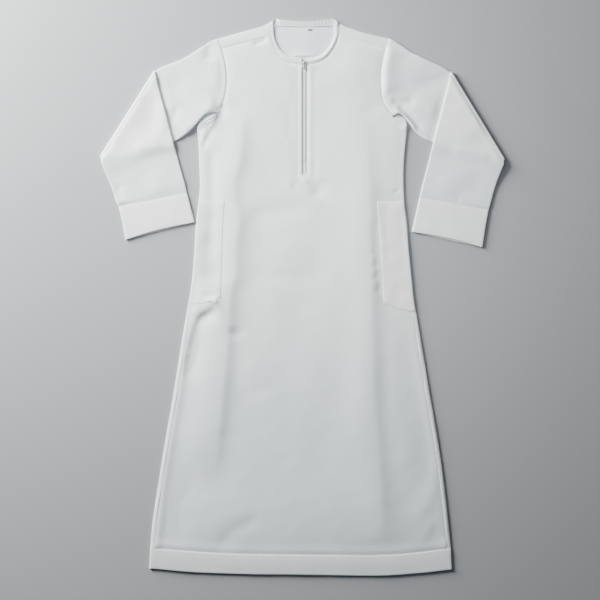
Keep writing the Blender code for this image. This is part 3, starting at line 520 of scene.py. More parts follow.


# %% [markdown]
# ## Folds of the front
#
# The front lies loosely on the back, so it rises in a few long soft folds and dips in between. Each
# fold is a ridge along a curve, steeper on one side, as cloth falls when it is pulled straight. Small
# bumps and hollows mark where a zip, pocket or armhole draws the cloth together. They are placed one
# by one, because simulated cloth wouldn't fold in just these places.

# %% Folds and bumps of the front
Fold = namedtuple("Fold", "line wide_left wide_right height fade", defaults=[0.3])
FOLDS = table(
    Fold,
    ([(152, 500), (166, 300), (176, 60), (173, -20), (176, -150), (180, -260), (191, -400),
      (201, -590), (205, -705)], 60, 26, 5.4, 0.2),
    ([(-158, 520), (-165, 370), (-182, 310), (-184, 266), (-168, 205), (-177, 150), (-178, 110),
      (-178, 56), (-192, 15), (-196, -70)], 42, 20, 4.5, 0.22),
    ([(-178, 70), (-180, 50), (-192, 15), (-197, -90), (-211, -250), (-232, -470)], 95, 20, 4.5, 0.22),
    ([(-238, 400), (-236, 300), (-234, 200), (-238, 120)], 14, 15, -2.4, 0.15),
    ([(-242, 180), (-241, 100), (-243, 8)], 20, 26, -2.0),
    ([(-280, -60), (-304, -190), (-330, -370), (-344, -560), (-350, -760)], 20, 42, -3.5, 0.12),
    ([(262, -60), (292, -200), (322, -380), (346, -600), (352, -760)], 30, 14, -1.0, 0.15),
    ([(240, -20), (246, -200), (262, -380), (270, -520)], 24, 30, 1.0, 0.25),
    ([(372, -430), (335, -510), (280, -610)], 24, 19, 1.5),
    ([(344, -560), (324, -610), (296, -660)], 16, 14, 1.0),
    ([(-350, -470), (-260, -492), (-170, -486)], 30, 28, -1.0),
    ([(-152, 212), (-60, 224), (34, 236)], 20, 20, -1.7),
    ([(-160, 66), (-110, 62), (-40, 52), (80, 50)], 18, 18, -0.9, 0.25),
    ([(-262, -26), (-240, -14), (-205, -2)], 12, 14, 2.2, 0.35),
    ([(186, 215), (194, 90), (204, -30)], 10, 8, -1.2, 0.2),
    ([(-30, 530), (-25, 450), (-24, 400)], 20, 8, -1.1),
    ([(118, 640), (150, 560), (158, 470)], 24, 24, 0.8),
    ([(84, 690), (100, 620), (130, 520)], 60, 80, 1.2, 0.35),
    ([(60, 560), (78, 500), (84, 420)], 26, 26, -0.7)
)
FINE_FOLDS = table(
    Fold,
    ([(-95, -568), (-146, -589), (-188, -613), (-208, -645), (-214, -672)], 15, 20, -1.4),
    ([(-208, -32), (-230, -40), (-256, -52), (-271, -72), (-280, -110), (-291, -160), (-304, -230)],
     9, 22, -4.0),
    ([(-218, -22), (-238, -36), (-262, -50), (-280, -70)], 8, 16, -2.0),
    ([(-262, 10), (-240, 3), (-222, -3)], 4, 5, -1.2),
    ([(-250, -4), (-236, -9), (-218, -14)], 3.0, 3.5, 1.2),
    ([(-236, 4), (-226, -4), (-222, -16)], 3, 3, 0.9),
    ([(-266, 378), (-253, 412), (-240, 438), (-230, 454)], 8, 10, -2.3),
    ([(-203, 508), (-210, 490), (-217, 472), (-223, 458)], 6, 14, -2.4),
    ([(-132, 657), (-110, 664), (-88, 673)], 6, 5, -2.1),
    ([(-46, 619), (-32, 611), (-18, 606)], 4, 4, -1.1),
    ([(-198, 592), (-182, 580), (-166, 567)], 2.4, 2.4, 0.5, 0.4),
    ([(-172, 546), (-160, 535), (-150, 524)], 2.4, 2.4, 0.4, 0.4),
    ([(-62, 432), (-44, 408), (-26, 384)], 2.4, 2.4, 0.4, 0.4),
    ([(234, 268), (246, 276), (258, 282)], 4, 4, -0.9),
    ([(48, 314), (44, 288), (26, 262)], 15, 24, -2.3, 0.5),
    ([(212, 506), (219, 490), (229, 474), (236, 460)], 24, 5, 0.8, 0.35),
    ([(-212, 506), (-221, 482), (-229, 464), (-243, 438), (-259, 412), (-268, 392)],
     18, 7, 3.2, 0.22)
)
Bump = namedtuple("Bump", "x y wide_x wide_y height")
BUMPS = table(
    Bump,
    (-19, 291, 7, 6, -0.9), (37, 271, 16, 12, -1.9), (6, 303, 12, 9, 1.1), (-36, 288, 14, 10, 0.6),
    (-174, -92, 19, 15, -2.6), (-208, -362, 24, 20, -0.8), (-246, -46, 14, 9, -1.4),
    (-135, -180, 30, 36, 0.8), (-112, -242, 24, 16, -0.6), (-46, -420, 18, 14, -0.25),
    (185, 118, 5, 5, -0.8), (183, 100, 6, 5, 0.8), (190, 84, 6, 6, -0.9), (184, 68, 5, 6, 0.7),
    (192, 54, 6, 6, -0.8), (190, 36, 6, 7, 0.7), (197, 20, 6, 7, -0.9), (196, 2, 6, 6, 0.5),
    (232, -300, 24, 120, 0.7), (-120, 500, 40, 60, 0.8), (120, 400, 40, 70, 0.6),
    (-90, 330, 34, 46, -0.7), (-20, 130, 46, 30, 0.6), (90, 150, 40, 44, -0.5)
)
print("folds:", len(FOLDS), "fine folds:", len(FINE_FOLDS), "bumps:", len(BUMPS))

# %% What folds, bumps and puckers add


def fold_heights(folds, places):
    """What folds add to the height at each place. A crest is rounded, and its foot runs out long."""
    total = np.zeros(len(places))
    for fold in folds:
        line = stretch(smooth(fold.line), count=20)
        away, along = away_from(line, places)
        along = along / lengths(line)[-1]
        down = fold.line[0][1] > fold.line[-1][1]
        wide = np.where((away > 0) != down, fold.wide_right, fold.wide_left)
        apart = np.sqrt(away ** 2 + (0.25 * wide) ** 2) - 0.25 * wide
        ends = ease(along / fold.fade) * ease((1 - along) / fold.fade)
        total += fold.height * np.exp(-(apart / wide) ** 1.5) * ends
    return total


def bump_heights(bumps, places):
    """What small rounded bumps and hollows add to the height at each place."""
    total = np.zeros(len(places))
    for b in bumps:
        total += b.height * np.exp(-((places[:, 0] - b.x) / b.wide_x) ** 2
                                   - ((places[:, 1] - b.y) / b.wide_y) ** 2)
    return total


def pucker(line, places, size, wave, reach, seed):
    """Small ripples that cross a seam, uneven along it."""
    away, along = away_from(line, places)
    flat = np.column_stack([along, away * 0.15])
    uneven = 0.55 + 0.45 * sway(flat, wave * 9, seed)
    turn = 2 * math.pi * along / wave + 1.6 * sway(flat, wave * 5, seed + 1)
    return size * uneven * np.sin(turn) * hump(away, reach)


print("top of the first fold:", round(fold_heights(FOLDS[:1], np.array([(175.0, -60.0)]))[0], 1), "mm")

# %% Where the front is sewn down


def seam_level(side, y):
    """Height of the side seam: low beside the chest, a soft roll down the skirt."""
    return SIDE_LEVEL + (1.0 if side is LEFT else 0.5) * skirt_part(y)


Seam = namedtuple("Seam", "line level fall side groove")


def front_seams():
    """The lines along which the front is sewn down, the level there and how far it reaches."""
    seams = [Seam(stretch(hem_line(1), count=40), LAID + 0.2, 34.0, None, 0.45)]
    left, right = neck_front_lines()
    seams.append(Seam(left[:, :2], LAID + 1.3, 13.0, None, 1.0))
    seams.append(Seam(right[:, :2], LAID + 0.6, 36.0, None, 0.5))
    for side in BOTH:
        seams.append(Seam(stretch(side_seam(side), count=40), None, 15.0, side, 0.42))
        seams.append(Seam(armhole_line(side, SHOULDER_FORWARD, count=16), SIDE_LEVEL, 12.0, None, 0.5))
        seams.append(Seam(stretch(shoulder_seam(side), count=8), SIDE_LEVEL, 14.0, None, 0.3))
    return seams


SEAMS = front_seams()
print("seams that hold the front:", len(SEAMS))

# %% The front's level
FRONT_LOFT = 1.8           # how high the loose cloth stands without any fold
FRONT_LEAST = LAID - 1.1   # no hollow goes deeper
SWELL_Y, SWELL_REACH, SWELL = -560, 70, 1.1                # the skirt stands higher above the hem
CALM_REACH = 22            # beside a seam the cloth sways less
ZIP_LEVEL = 3.1            # middle of the stiffer cloth beside the zip
ZIP_HOLD = 26              # how far past the placket the zip holds the cloth
WRINKLE_PITCH, WRINKLE_REACH = 7.0, 20                     # at the armpits
GROOVE = 1.3               # half the width of the groove that a row of stitches pulls in
ROLL = 0.85                # the rolled edges of the cloth beside the zip


def armpit_wrinkles(side, places, level):
    """At the armpit the front is pushed up beside the sleeve, in fine wrinkles along the gap."""
    rest, high, slope = (LAID + 1.3, 4.4, 0.24) if side is LEFT else (LAID + 2.3, 2.2, 0.12)
    away, along = away_from(smooth(side.lens[1:]), places)
    away = np.abs(away)
    level = level + (rest - level) * hump(away, 17)
    level = level + (high - slope * away) * ease((WRINKLE_REACH - away) / 7)
    turn = 2 * math.pi * away / WRINKLE_PITCH + 1.5 * np.sin(along * 0.11)
    return level + 0.5 * np.cos(turn) * hump(away - 9, 7)


def held_by_zip(places):
    """0 to 1: how far the stiff cloth beside the zip holds each place of the front."""
    x, y = places.T
    across = ease((PLACKET_HALF + ZIP_HOLD - np.abs(x - ZIP_X)) / 22)
    return across * ease((y - PLACKET_END + 30) / 30)


def front_level(places):
    """Middle of the front's cloth at many places."""
    y = places[:, 1]
    height = FRONT_LOFT + fold_heights(FOLDS, places) + SWELL * hump(y - SWELL_Y, SWELL_REACH)
    level = LAID + np.maximum(height, 0)
    calm = np.ones(len(places))
    for seam in SEAMS:
        away, _ = away_from(seam.line, places)
        held = hump(away, seam.fall)
        level = level * (1 - held) + (seam_level(seam.side, y) if seam.side else seam.level) * held
        calm *= 1 - hump(away, CALM_REACH)
    held = held_by_zip(places)
    level = level * (1 - held) + ZIP_LEVEL * held
    calm *= 1 - 0.8 * held
    level += bump_heights(BUMPS, places) + calm * (0.5 * sway(places, 150, 3) + 0.1 * sway(places, 62, 5))
    free = np.ones(len(places))
    for side in BOTH:
        level = armpit_wrinkles(side, places, level)
        free *= 1 - hump(away_from(side_seam(side), places)[0], 8)
    return np.maximum(level + fold_heights(FINE_FOLDS, places) * free, FRONT_LEAST)


def placket_line():
    """The stitched rectangle round the zip, down its left side, across and up its right."""
    left, right = ZIP_X - PLACKET_HALF, ZIP_X + PLACKET_HALF + 3
    return np.array([(left, 606), (left, PLACKET_END), (right, PLACKET_END), (right, 606)], float)


def front_relief(places):
    """The front with its stitched grooves, the roll above the hem, rolled zip edges and puckers."""
    level = front_level(places)
    x, y = places.T
    stitched_line = stretch(placket_line(), count=60)
    level -= np.where(x < ZIP_X, 0.28, 0.1) * hump(away_from(stitched_line, places)[0], GROOVE)
    level += pucker(stitched_line, places, 0.14, 6.0, 4.0, 11)
    for k, seam in enumerate(SEAMS):
        away, _ = away_from(seam.line, places)
        part = 0.25 + 0.75 * skirt_part(y) if seam.side else 1.0
        level -= seam.groove * part * hump(away, GROOVE)
        level += pucker(seam.line, places, 0.2, 6.5, 8.0, 20 + k) * part
    above = np.abs(away_from(SEAMS[0].line, places)[0])
    level += 0.9 * hump(above - 10, np.where(above > 10, 13.0, 5.5))
    beside = np.maximum(WINDOW_LEFT - x, x - WINDOW_RIGHT)
    by_zip = (y > ZIP_END - 3) & (beside < 30)
    left_roll = ROLL * hump(beside - 1.5, 2.6) - 0.2 * hump(beside, 0.7)
    right_roll = ROLL * hump(beside - 9.5, np.where(beside < 9.5, 4.0, 7.0)) - 0.8 * hump(beside, 2.5)
    return level + np.where(by_zip, np.where(x < ZIP_X, left_roll, right_roll), 0)


print("front stands", [round(float(v), 2) for v in front_level(np.array([(0.0, 0.0), (178.0, 0.0)]))])

# %% [markdown]
# ## The front panel
#
# One panel from the shoulders to the hem, with a slit for the zip. Its outline is chained from the
# seam lines. Rows of points beside each stitched line let the cloth dip there.

# %% Front
FRONT_SPACING = 5.6
FRONT_CLEAR = 0.2          # keeps the front clear of the seams' strips under it


def front_outline():
    """The front's outline, anticlockwise from the hem's left end."""
    rising = {}
    for side in BOTH:
        low = stretch(side_seam(side))
        low[-1] = on_hem(low[-1], SEAM_GAP)
        lens = stretch(smooth(side.lens), step=4.0)
        armhole = armhole_line(side, SHOULDER_FORWARD)
        rising[side.name] = np.vstack([low[::-1], lens[::-1], armhole[-2:0:-1],
                                       shoulder_seam(side, SEAM_GAP)])
    left, right = [shift(line[:, :2], SEAM_GAP) for line in neck_front_lines()]
    left[-1][0], right[0][0] = WINDOW_LEFT, WINDOW_RIGHT
    ys = np.linspace(left[-1][1], ZIP_END, 72)
    down = np.column_stack([WINDOW_RIGHT - 5.8 * ease((356 - ys) / 18), ys])
    up = np.column_stack([np.full(len(ys), left[-1][0]), ys[::-1]])
    ends = [rising[name][0] for name in ("left", "right")]
    hem = hem_line(1, SEAM_GAP)
    hem = stretch(hem[(hem[:, 0] > ends[0][0] + 2) & (hem[:, 0] < ends[1][0] - 2)])
    return chain(hem, rising["right"], right[::-1], down, up, left[::-1], rising["left"][::-1])


def front_layers_and_painted_shade(places):
    """Cloth under each place of the front: more along seams and round the zip, and less towards the hem as
    painted shade.
    """
    # Painted shade: the value falls towards the hem, so the lower front takes the darker, cooler thin tone.
    total = 0.45 - 0.41 * ease((60 - places[:, 1]) / 420)
    for seam in SEAMS:
        away, _ = away_from(seam.line, places)
        total += 0.35 * ease((9 - np.abs(away)) / 3)
    x, y = places.T
    beside = np.abs(x - ZIP_X)
    total += 0.4 * ease((PLACKET_HALF + 1 - beside) / 3) * ease((y - PLACKET_END + 2) / 3)
    return np.minimum(total, 1)


placket = stretch(placket_line(), step=3.0)
guide_lines = [shift(placket, d) for d in (-GROOVE, 0.0, GROOVE)]
guide_lines += [np.column_stack([np.full(90, x), np.linspace(330, 604, 90)])
                for x in (WINDOW_LEFT - 7.5, WINDOW_LEFT - 5.0, WINDOW_RIGHT + 5.0, WINDOW_RIGHT + 7.5)]
for fold in FINE_FOLDS:
    line = stretch(smooth(fold.line), step=3.2)
    wide = (fold.wide_left + fold.wide_right) / 2
    guide_lines += [shift(line, d * wide) for d in (-1.6, -0.9, -0.4, 0.0, 0.4, 0.9, 1.6)]
for side in BOTH:
    guide_lines += [shift(stretch(smooth(side.lens), step=3.0), d) for d in np.arange(-26, 26, 1.7)]
places, faces, _ = fill(front_outline(), FRONT_SPACING, (0.8, 1.8, 3.4), guide_lines)
levels = front_relief(places)
front = shell("robe_front", np.column_stack([places, levels + FRONT_CLEAR]), faces, CLOTH_THICK,
              places, front_layers_and_painted_shade(places))
print("front's highest point", round(levels.max(), 1), "mm")

# %% [markdown]
# ## The back panel
#
# The back lies flat on the floor. At the sides it wraps round to the front, and over the shoulders it
# folds forward, so the seams show on the front. Its flat part is filled like the front. The border is
# then carried up round a small fold and back over the panel, in columns of points.

# %% The back's outline
FOLD_TURNS = np.radians(np.arange(1, 9) * 22.5)
UNDERARM_GAP = 2.8         # between the back and the sleeve at the armpit
UNDERARM_END = 14.0        # how far before the third line across the sleeve that edge stops


def back_outline():
    """The stretches of the back's flat outline by name, anticlockwise from the hem's left end."""
    inset = SIDE_ROUND + BED
    parts = []
    ends = {}
    for side in (RIGHT, LEFT):
        low = stretch(side_line(side, inset), step=5.0)
        low[-1] = on_hem(low[-1], SEAM_GAP)
        under = [side.armhole[-1]] + [(row.low_x, row.low_y) for row in side.upper[:3]]
        under = shift(smooth(under), UNDERARM_GAP * side.sign)
        under = stretch(under, 0, lengths(under)[-1] - UNDERARM_END)
        corner = armhole_line(side, inset)[0]
        fold = shift(stretch(smooth(side.shoulder), step=5.0), -inset * side.sign)
        fold[0] = corner
        ends[side.name] = low[-1]
        runs = [("side", low[::-1]), ("under", under[::-1]),
                ("armhole", armhole_line(side, inset)[-2:0:-1]), ("shoulder", fold)]
        if side is RIGHT:
            parts += [("right_" + name, line) for name, line in runs]
            parts.append(("neck", shift(smooth(NECK_BACK)[:, :2], -1.0)[10:-10]))
        else:
            parts += [("left_" + name, line[::-1]) for name, line in reversed(runs)]
    hem = hem_line(1, SEAM_GAP)
    hem = hem[(hem[:, 0] > ends["left"][0] + 2) & (hem[:, 0] < ends["right"][0] - 2)]
    return [("hem", stretch(hem, step=6.0))] + parts


print("back outline:", [name for name, _ in back_outline()])

# %% A fold round a border


def fold_over(middle, out, faces, border, outward, ends, across):
    """Carry a border up round a fold and back over the panel to the end points.

    Gives the numbers of the points of the strip on top, and how far across it each lies.
    """
    columns, strip, parts = [], [], []
    for index, (nx, ny), end in zip(border, outward, ends):
        side = np.array([nx, ny, 0]) / math.hypot(nx, ny)
        centre = middle[index] + (0, 0, SIDE_ROUND)
        column = [index]
        for turn in FOLD_TURNS:
            arm = side * math.sin(turn) - np.array([0, 0, math.cos(turn)])
            middle.append(centre + arm * SIDE_ROUND)
            out.append(-arm)
            column.append(len(middle) - 1)
        last = middle[-1]
        stop = np.array([end[0], end[1], last[2]])
        for part in np.arange(1, across + 1) / across:
            middle.append(last + (stop - last) * part)
            out.append(np.array([0, 0, -1.0]))
            column.append(len(middle) - 1)
            strip.append(len(middle) - 1)
            parts.append(part)
        columns.append(column)
    faces += rows_of_quads(columns, False)
    return strip, np.array(parts)


print("steps round a fold:", len(FOLD_TURNS))

# %% Back
NECK_ARC = stretch(smooth([(-38, 624.6), (-4, 628.0), (26, 626.6), (46, 623.4)]), step=3.0)
BACK_SPACING = 11.0
NECK_LIFT, NECK_REACH = 2.4, 34    # how high the back stands above the arc, and how far along it
SIDE_STEPS, SHOULDER_STEPS = 5, 8  # points across each strip


def neck_lift(places):
    """Inside the neck the back is loose, and it is pushed up in an arc above the front's neckband."""
    x, y = places.T
    near_neck = np.exp(-((x - 10) / 60) ** 2 - ((y - 668) / 40) ** 2)
    lift = np.maximum(near_neck * (0.4 + 0.5 * sway(places, 70, 41)), 0)
    lift += 1.6 * np.exp(-((x + 50) / 75) ** 2 - ((y - 700) / 55) ** 2) * near_neck
    away = np.abs(away_from(NECK_ARC, places)[0])
    wide = np.where(y > np.interp(x, NECK_ARC[:, 0], NECK_ARC[:, 1]), 13.0, 1.5)
    return lift + NECK_LIFT * hump(away, wide) * np.exp(-((x - ZIP_X) / NECK_REACH) ** 4)


def wrap_edge(side, name, line, target, across, middle, out, faces, border):
    """Wrap a side or a shoulder over to its seam, and let the strip rise and pucker there."""
    at_side = name == "side"
    target = stretch(target, count=len(line))
    if at_side:
        target[0] = on_hem(target[0], SEAM_GAP)
    target = target[::-1] if side is LEFT else target
    strip, part = fold_over(middle, out, faces, border, shift(line, 1.0) - line, target, across)
    here = np.array([middle[k][:2] for k in strip])
    away = away_from(target, here)[0]
    loose = 0.15 + 0.85 * skirt_part(here[:, 1]) if at_side else np.ones(len(here))
    top = seam_level(side, here[:, 1]) if at_side else SIDE_LEVEL
    rises = (top - CLOTH_THICK / 2 - 2 * SIDE_ROUND) * part - 0.4 * loose * hump(away, 1.2)
    rises += pucker(target, here, 0.16, 9.0, 6.0, 61) * loose
    rises += 0.5 * np.sin(math.pi * part) * (1 + sway(here, 90, 62)) * loose
    for k, z in zip(strip, rises):
        middle[k] = middle[k] + (0, 0, z)


def make_back():
    parts = back_outline()
    outline = np.vstack([line for _, line in parts])
    reach, count = {}, 0
    for name, line in parts:
        reach[name] = slice(count, count + len(line))
        count += len(line)
    guides = [shift(NECK_ARC, d) for d in (-3.0, -1.8, -0.9, 0.0, 2.0, 5.0, 9.0)]
    places, faces, order = fill(outline, BACK_SPACING, (), guides)
    middle = list(np.column_stack([places, CLOTH_THICK / 2 + neck_lift(places)]))
    out = [np.array([0, 0, 1.0])] * len(places)
    faces = [list(map(int, face)) for face in faces]
    for side in BOTH:
        for name, target, across in (("side", side_seam(side, -SEAM_GAP)[::-1], SIDE_STEPS),
                                     ("shoulder", shoulder_seam(side), SHOULDER_STEPS)):
            at = reach[side.name + "_" + name]
            wrap_edge(side, name, outline[at], target, across, middle, out, faces, order[at])
    middle = np.array(middle)
    layers = np.where(middle[:, 2] > 1.8, 0.5, 0.0)
    return shell("robe_back", middle, faces, CLOTH_THICK, middle[:, :2], layers, out)


back = make_back()

# %% [markdown]
# ## Pockets
#
# Each pocket is a long panel sewn on beside the side seam, with its mouth at the seam. It is a second
# layer of the same cloth, so it follows every fold of the front under it. Its height is therefore the
# front's own height and a little more, and it rounds down to the front along its three sewn edges.

# %% Pockets
POCKET_LIFT = 0.95


def pocket_lines(side):
    """The pocket's sewn edge (top, inner side and bottom) and its open mouth."""
    inner = smooth(side.pocket_in)
    low = smooth(side.pocket_low)
    mouth = side_line(side, POCKET_SETBACK)[::-1]
    ys = np.linspace(low[-1][1], POCKET_TOP, 50)
    mouth = np.column_stack([np.interp(ys, mouth[:, 1], mouth[:, 0]), ys])
    sewn = chain(stretch(np.array([mouth[-1], inner[0]])), stretch(inner), stretch(low), mouth[:1])
    return sewn, mouth


def make_pocket(side):
    sewn, mouth = pocket_lines(side)
    outline = chain(sewn, mouth)
    area = np.sum(outline[:, 0] * np.roll(outline[:, 1], -1) - outline[:, 1] * np.roll(outline[:, 0], -1))
    outline = outline if area > 0 else outline[::-1]
    guides = [shift(sewn, d) for d in (2.2, 3.4, 4.6, -2.2, -3.4, -4.6)]
    places, faces, _ = fill(outline, 4.5, (0.7, 1.6), guides)
    away = np.abs(away_from(sewn, places)[0])
    edge = np.abs(away_from(side_line(side), places)[0])
    ridge = seam_level(side, places[:, 1]) + 0.75 * skirt_part(places[:, 1]) + 0.35
    under = front_relief(places)
    level = np.where(edge < SEAM_FORWARD, np.maximum(under, ridge), under)
    level += FRONT_CLEAR + POCKET_LIFT - 0.5 * hump(edge - POCKET_SETBACK, 2.5)
    level -= 0.62 * hump(away, 1.1) + 0.2 * hump(away - 3.4, 0.9)
    level += pucker(sewn, places, 0.2, 6.0, 8.0, 70 + side.sign)
    level += 0.4 * sway(places, 60, 72 + side.sign) * ease(away / 20)
    # The left pocket is kept near the thin tone: painted shade, so it is darker than the right.
    layers = (0.2 if side is LEFT else 1.0) + 0.25 * ease((8 - away) / 3)
    return shell("pocket_panel_" + side.name, np.column_stack([places, level]), faces, CLOTH_THICK,
                 places, layers)


pockets = [make_pocket(side) for side in BOTH]

# %% [markdown]
# ## Neckband
#
# A narrow doubled band finishes the round neck and stops at the zip. It is built in cross-sections that
# run from its outer edge to its inner edge. On the left of the front it is flat with a steep inner wall.
# On the right it is crested, because four layers of cloth are bent there on a curve. Along the back of
# the neck it slopes down to its inner edge.

# %% Neckband
BAND_FLOOR, BAND_THICK = 1.25, 1.0
BAND_WIDTH = 14.0          # of the flat cut
PINCH_X, PINCH_Y, PINCH = -69, 695, 2.2                    # the band dips at its back left corner
BAND_PARTS = [0.0, 0.05, 0.12, 0.2, 0.3, 0.4, 0.5, 0.6, 0.68, 0.75, 0.82, 0.9, 0.96, 1.0]


def neck_rows():
    """Both edges of the neckband, all round from the zip's right side to its left."""
    left, right = neck_front_lines()
    return np.vstack([right, smooth(NECK_BACK, 6), left])


def band_rise(part, right, front, middle, back):
    """Height across the band: flat on the left, crested on the right, sloping along the back.

    right, front, middle and back run from 0 to 1: how far this section belongs to each.
    """
    across = np.interp(part, (0, 0.55, 1), (0, 0.5, 1))
    crested = (1.3 + 1.2 * front) * math.sin(math.pi * across) ** 0.9
    flat = 1.5 + 0.3 * math.sin(math.pi * part) - 1.3 * ease((part - 0.86) / 0.14)
    flat -= hump(part, 0.07)
    sloped = 2.7 - 2.4 * part
    rise = (crested * right + flat * (1 - right)) * (1 - back) + sloped * back
    return rise - (0.3 + 0.9 * middle) * hump(part - 0.8, 0.09)


def make_neckband():
    rows = stretch(neck_rows(), step=3.0)
    middle, thick, cut = [], [], []
    for row, at in zip(rows, lengths(rows[:, :2])):
        outer, inner = row[:2], row[2:]
        ripple = 0.2 * math.sin(at * 0.72 + 2.0 * math.sin(at * 0.045))
        front = ease((700 - outer[1]) / 40)
        shares = (ease((outer[0] + 5) / 30), front, front * math.exp(-(outer[0] / 34) ** 4),
                  ease((outer[1] - 706) / 6))
        for part in BAND_PARTS:
            x, y = outer + (inner - outer) * part
            rise = band_rise(part, *shares) + ripple * math.sin(math.pi * part)
            rise -= PINCH * hump(x - PINCH_X, 5) * ease((y - PINCH_Y) / 8)
            thick.append(BAND_THICK + max(rise, -0.3))
            middle.append((x, y, BAND_FLOOR + thick[-1] / 2))
            cut.append((at, part * BAND_WIDTH))
    return shell("neck_band", middle, grid_faces(len(middle), len(BAND_PARTS)), np.array(thick),
                 np.array(cut), 0.25)


neckband = make_neckband()

# %% [markdown]
# ## Sleeves
#
# A sleeve is a tube. Laid down it becomes two layers joined along both edges, and here it is also
# folded back on itself at the elbow. So it is made in rings: each ring runs across one layer, round
# the far edge, back across the other layer and round the near edge. The rings go out to the elbow's
# crease, turn half round it, and come back as the forearm, which lies on the upper sleeve.

# %% Rings of a flattened tube
ACROSS = 44
SLEEVE_SPACE = 1.8
CREASE_ROUND = 1.6
DROP_START = 5.0           # how far past the hidden edge the forearm starts to drop
EDGE_TURNS = [math.radians(a) for a in (30, 60, 90, 120, 150)]


def ring(line, first, second, first_up):
    """Points and outward directions round a flattened tube, from two layers' heights along a line."""
    line = np.column_stack([line, np.zeros(len(line))])
    near = line[0] - line[1]
    near = near / np.linalg.norm(near)
    far = line[-1] - line[-2]
    far = far / np.linalg.norm(far)
    up = np.array([0, 0, first_up])
    first = np.broadcast_to(first, len(line))
    second = np.broadcast_to(second, len(line))
    points = [(p + (0, 0, z), up) for p, z in zip(line, first)]
    for end, out, a, b in ((line[-1], far, first[-1], second[-1]), (line[0], near, first[0], second[0])):
        radius = abs(a - b) / 2
        arc = []
        for turn in EDGE_TURNS:
            arm = up * math.cos(turn) + out * math.sin(turn)
            arc.append((end + (0, 0, (a + b) / 2) + arm * radius, arm))
        if out is near:
            points += [(q + (0, 0, z), -up) for q, z in zip(line[::-1], second[::-1])]
            arc = arc[::-1]
        points += arc
    return points


def tube(name, rings, thick, layers):
    """A shell round a tube, through its rings, with its cut measured round and along it."""
    wide = len(rings[0])
    middle = np.array([point for points in rings for point, _ in points])
    out = np.array([way for points in rings for _, way in points])
    grid = middle.reshape(-1, wide, 3)
    around = np.cumsum(np.linalg.norm(np.diff(grid, axis=1, prepend=grid[:, :1]), axis=2), axis=1)
    along = np.cumsum(np.linalg.norm(np.diff(grid, axis=0, prepend=grid[:1]), axis=2), axis=0)
    cut = np.stack([around, along], axis=2).reshape(-1, 2)
    return shell(name, middle, grid_faces(len(middle), wide, True), thick, cut, layers(middle), out)


def pushed(points, start, pushes):
    """A ring with some of its points, counted from a start, moved by the given steps."""
    moved = [(point + push, out) for (point, out), push in zip(points[start:], pushes)]
    return points[:start] + moved + points[start + len(moved):]


def across_points(row, count, inset):
    """Evenly spaced points from a sleeve's top edge to its underarm edge, in from both."""
    top, low = np.reshape(row, (2, 2)).astype(float)
    run = (low - top) / np.linalg.norm(low - top)
    return np.linspace(top + run * inset, low - run * inset, count)


print("points in a ring:", len(ring(across_points(LEFT.cuff[0], ACROSS, 0), 1.0, 0.0, 1)))

# %% [markdown]
# Soft hollows and ridges lie where a sleeve bends away from the shoulder and where the forearm drops
# off the hidden edge of the upper sleeve. Each is placed one by one, in the same way as the front's.

# %% Folds of the sleeves
UPPER_FOLDS = {
    "left": table(
        Fold,
        ([(-241, 668), (-242, 640), (-247, 606)], 11, 17, -2.5),
        ([(-214, 498), (-238, 487), (-255, 475), (-271, 459), (-290, 440), (-314, 424)],
         26, 5, 4.0, 0.15),
        ([(-322, 500), (-332, 476), (-338, 452)], 8, 8, -2.0),
        ([(-300, 590), (-322, 560), (-340, 520)], 26, 20, -1.6),
        ([(-222, 640), (-217, 580), (-222, 530)], 16, 9, 1.4)),
    "right": table(
        Fold,
        ([(230, 662), (218, 622), (212, 575), (214, 520)], 10, 27, 4.4, 0.2),
        ([(266, 551), (330, 557), (384, 574), (424, 596)], 16, 20, -2.7, 0.42),
        ([(300, 640), (312, 610), (316, 585)], 28, 22, 1.3),
        ([(226, 512), (250, 506), (272, 506), (294, 512)], 8, 8, -2.8, 0.25),
        ([(243, 500), (260, 487), (274, 473), (287, 458), (310, 434)], 9, 9, -3.2, 0.2),
        ([(232, 484), (248, 482), (265, 471), (279, 455), (300, 430)], 7, 7, 3.6, 0.2),
        ([(286, 520), (320, 500), (350, 470)], 26, 22, 1.4))
}
FOREARM_FOLDS = {
    "left": table(
        Fold,
        ([(-374, 540), (-392, 480), (-402, 410)], 26, 17, -2.4),
        ([(-352, 520), (-360, 460), (-366, 410)], 12, 12, 1.4),
        ([(-440, 392), (-405, 394), (-360, 404)], 16, 12, 1.6),
        ([(-470, 300), (-478, 280), (-484, 262)], 8, 12, -1.4),
        ([(-486, 258), (-474, 250), (-462, 250)], 3, 3, 0.9),
        ([(-484, 268), (-472, 262), (-460, 264)], 3, 3, -0.9),
        ([(-390, 330), (-380, 300), (-372, 270)], 20, 20, 0.9)),
    "right": table(
        Fold,
        ([(386, 388), (430, 378), (490, 368)], 14, 14, 0.9, 0.2),
        ([(400, 520), (424, 460), (448, 400)], 34, 38, 1.3),
        ([(364, 320), (374, 290), (382, 262)], 20, 22, 0.7),
        ([(440, 330), (448, 290), (452, 260)], 20, 20, -0.8),
        ([(396, 262), (404, 256), (410, 246)], 3, 3, -0.9))
}
print("sleeve folds:", {name: len(UPPER_FOLDS[name] + FOREARM_FOLDS[name]) for name in UPPER_FOLDS})

# %% Lines across a sleeve


def upper_lines(side, armhole, edge):
    """Lines across the upper sleeve, from the armhole to just short of the elbow's crease."""
    rows = [across_points(row, ACROSS, edge) for row in side.upper]
    bulge = armhole - np.linspace(armhole[0], armhole[-1], ACROSS)
    lines = [armhole]
    for k, line in enumerate(rows[:-1]):
        lines.append(line + bulge * max(0.0, 1 - (k + 1) / 4.0) ** 1.5)
    return lines, rows[-1]


def finer(lines, steps):
    """The same run of lines with smooth steps between them."""
    flat = smooth(np.array(lines).reshape(len(lines), -1), steps)
    return flat.reshape(len(flat), -1, 2)


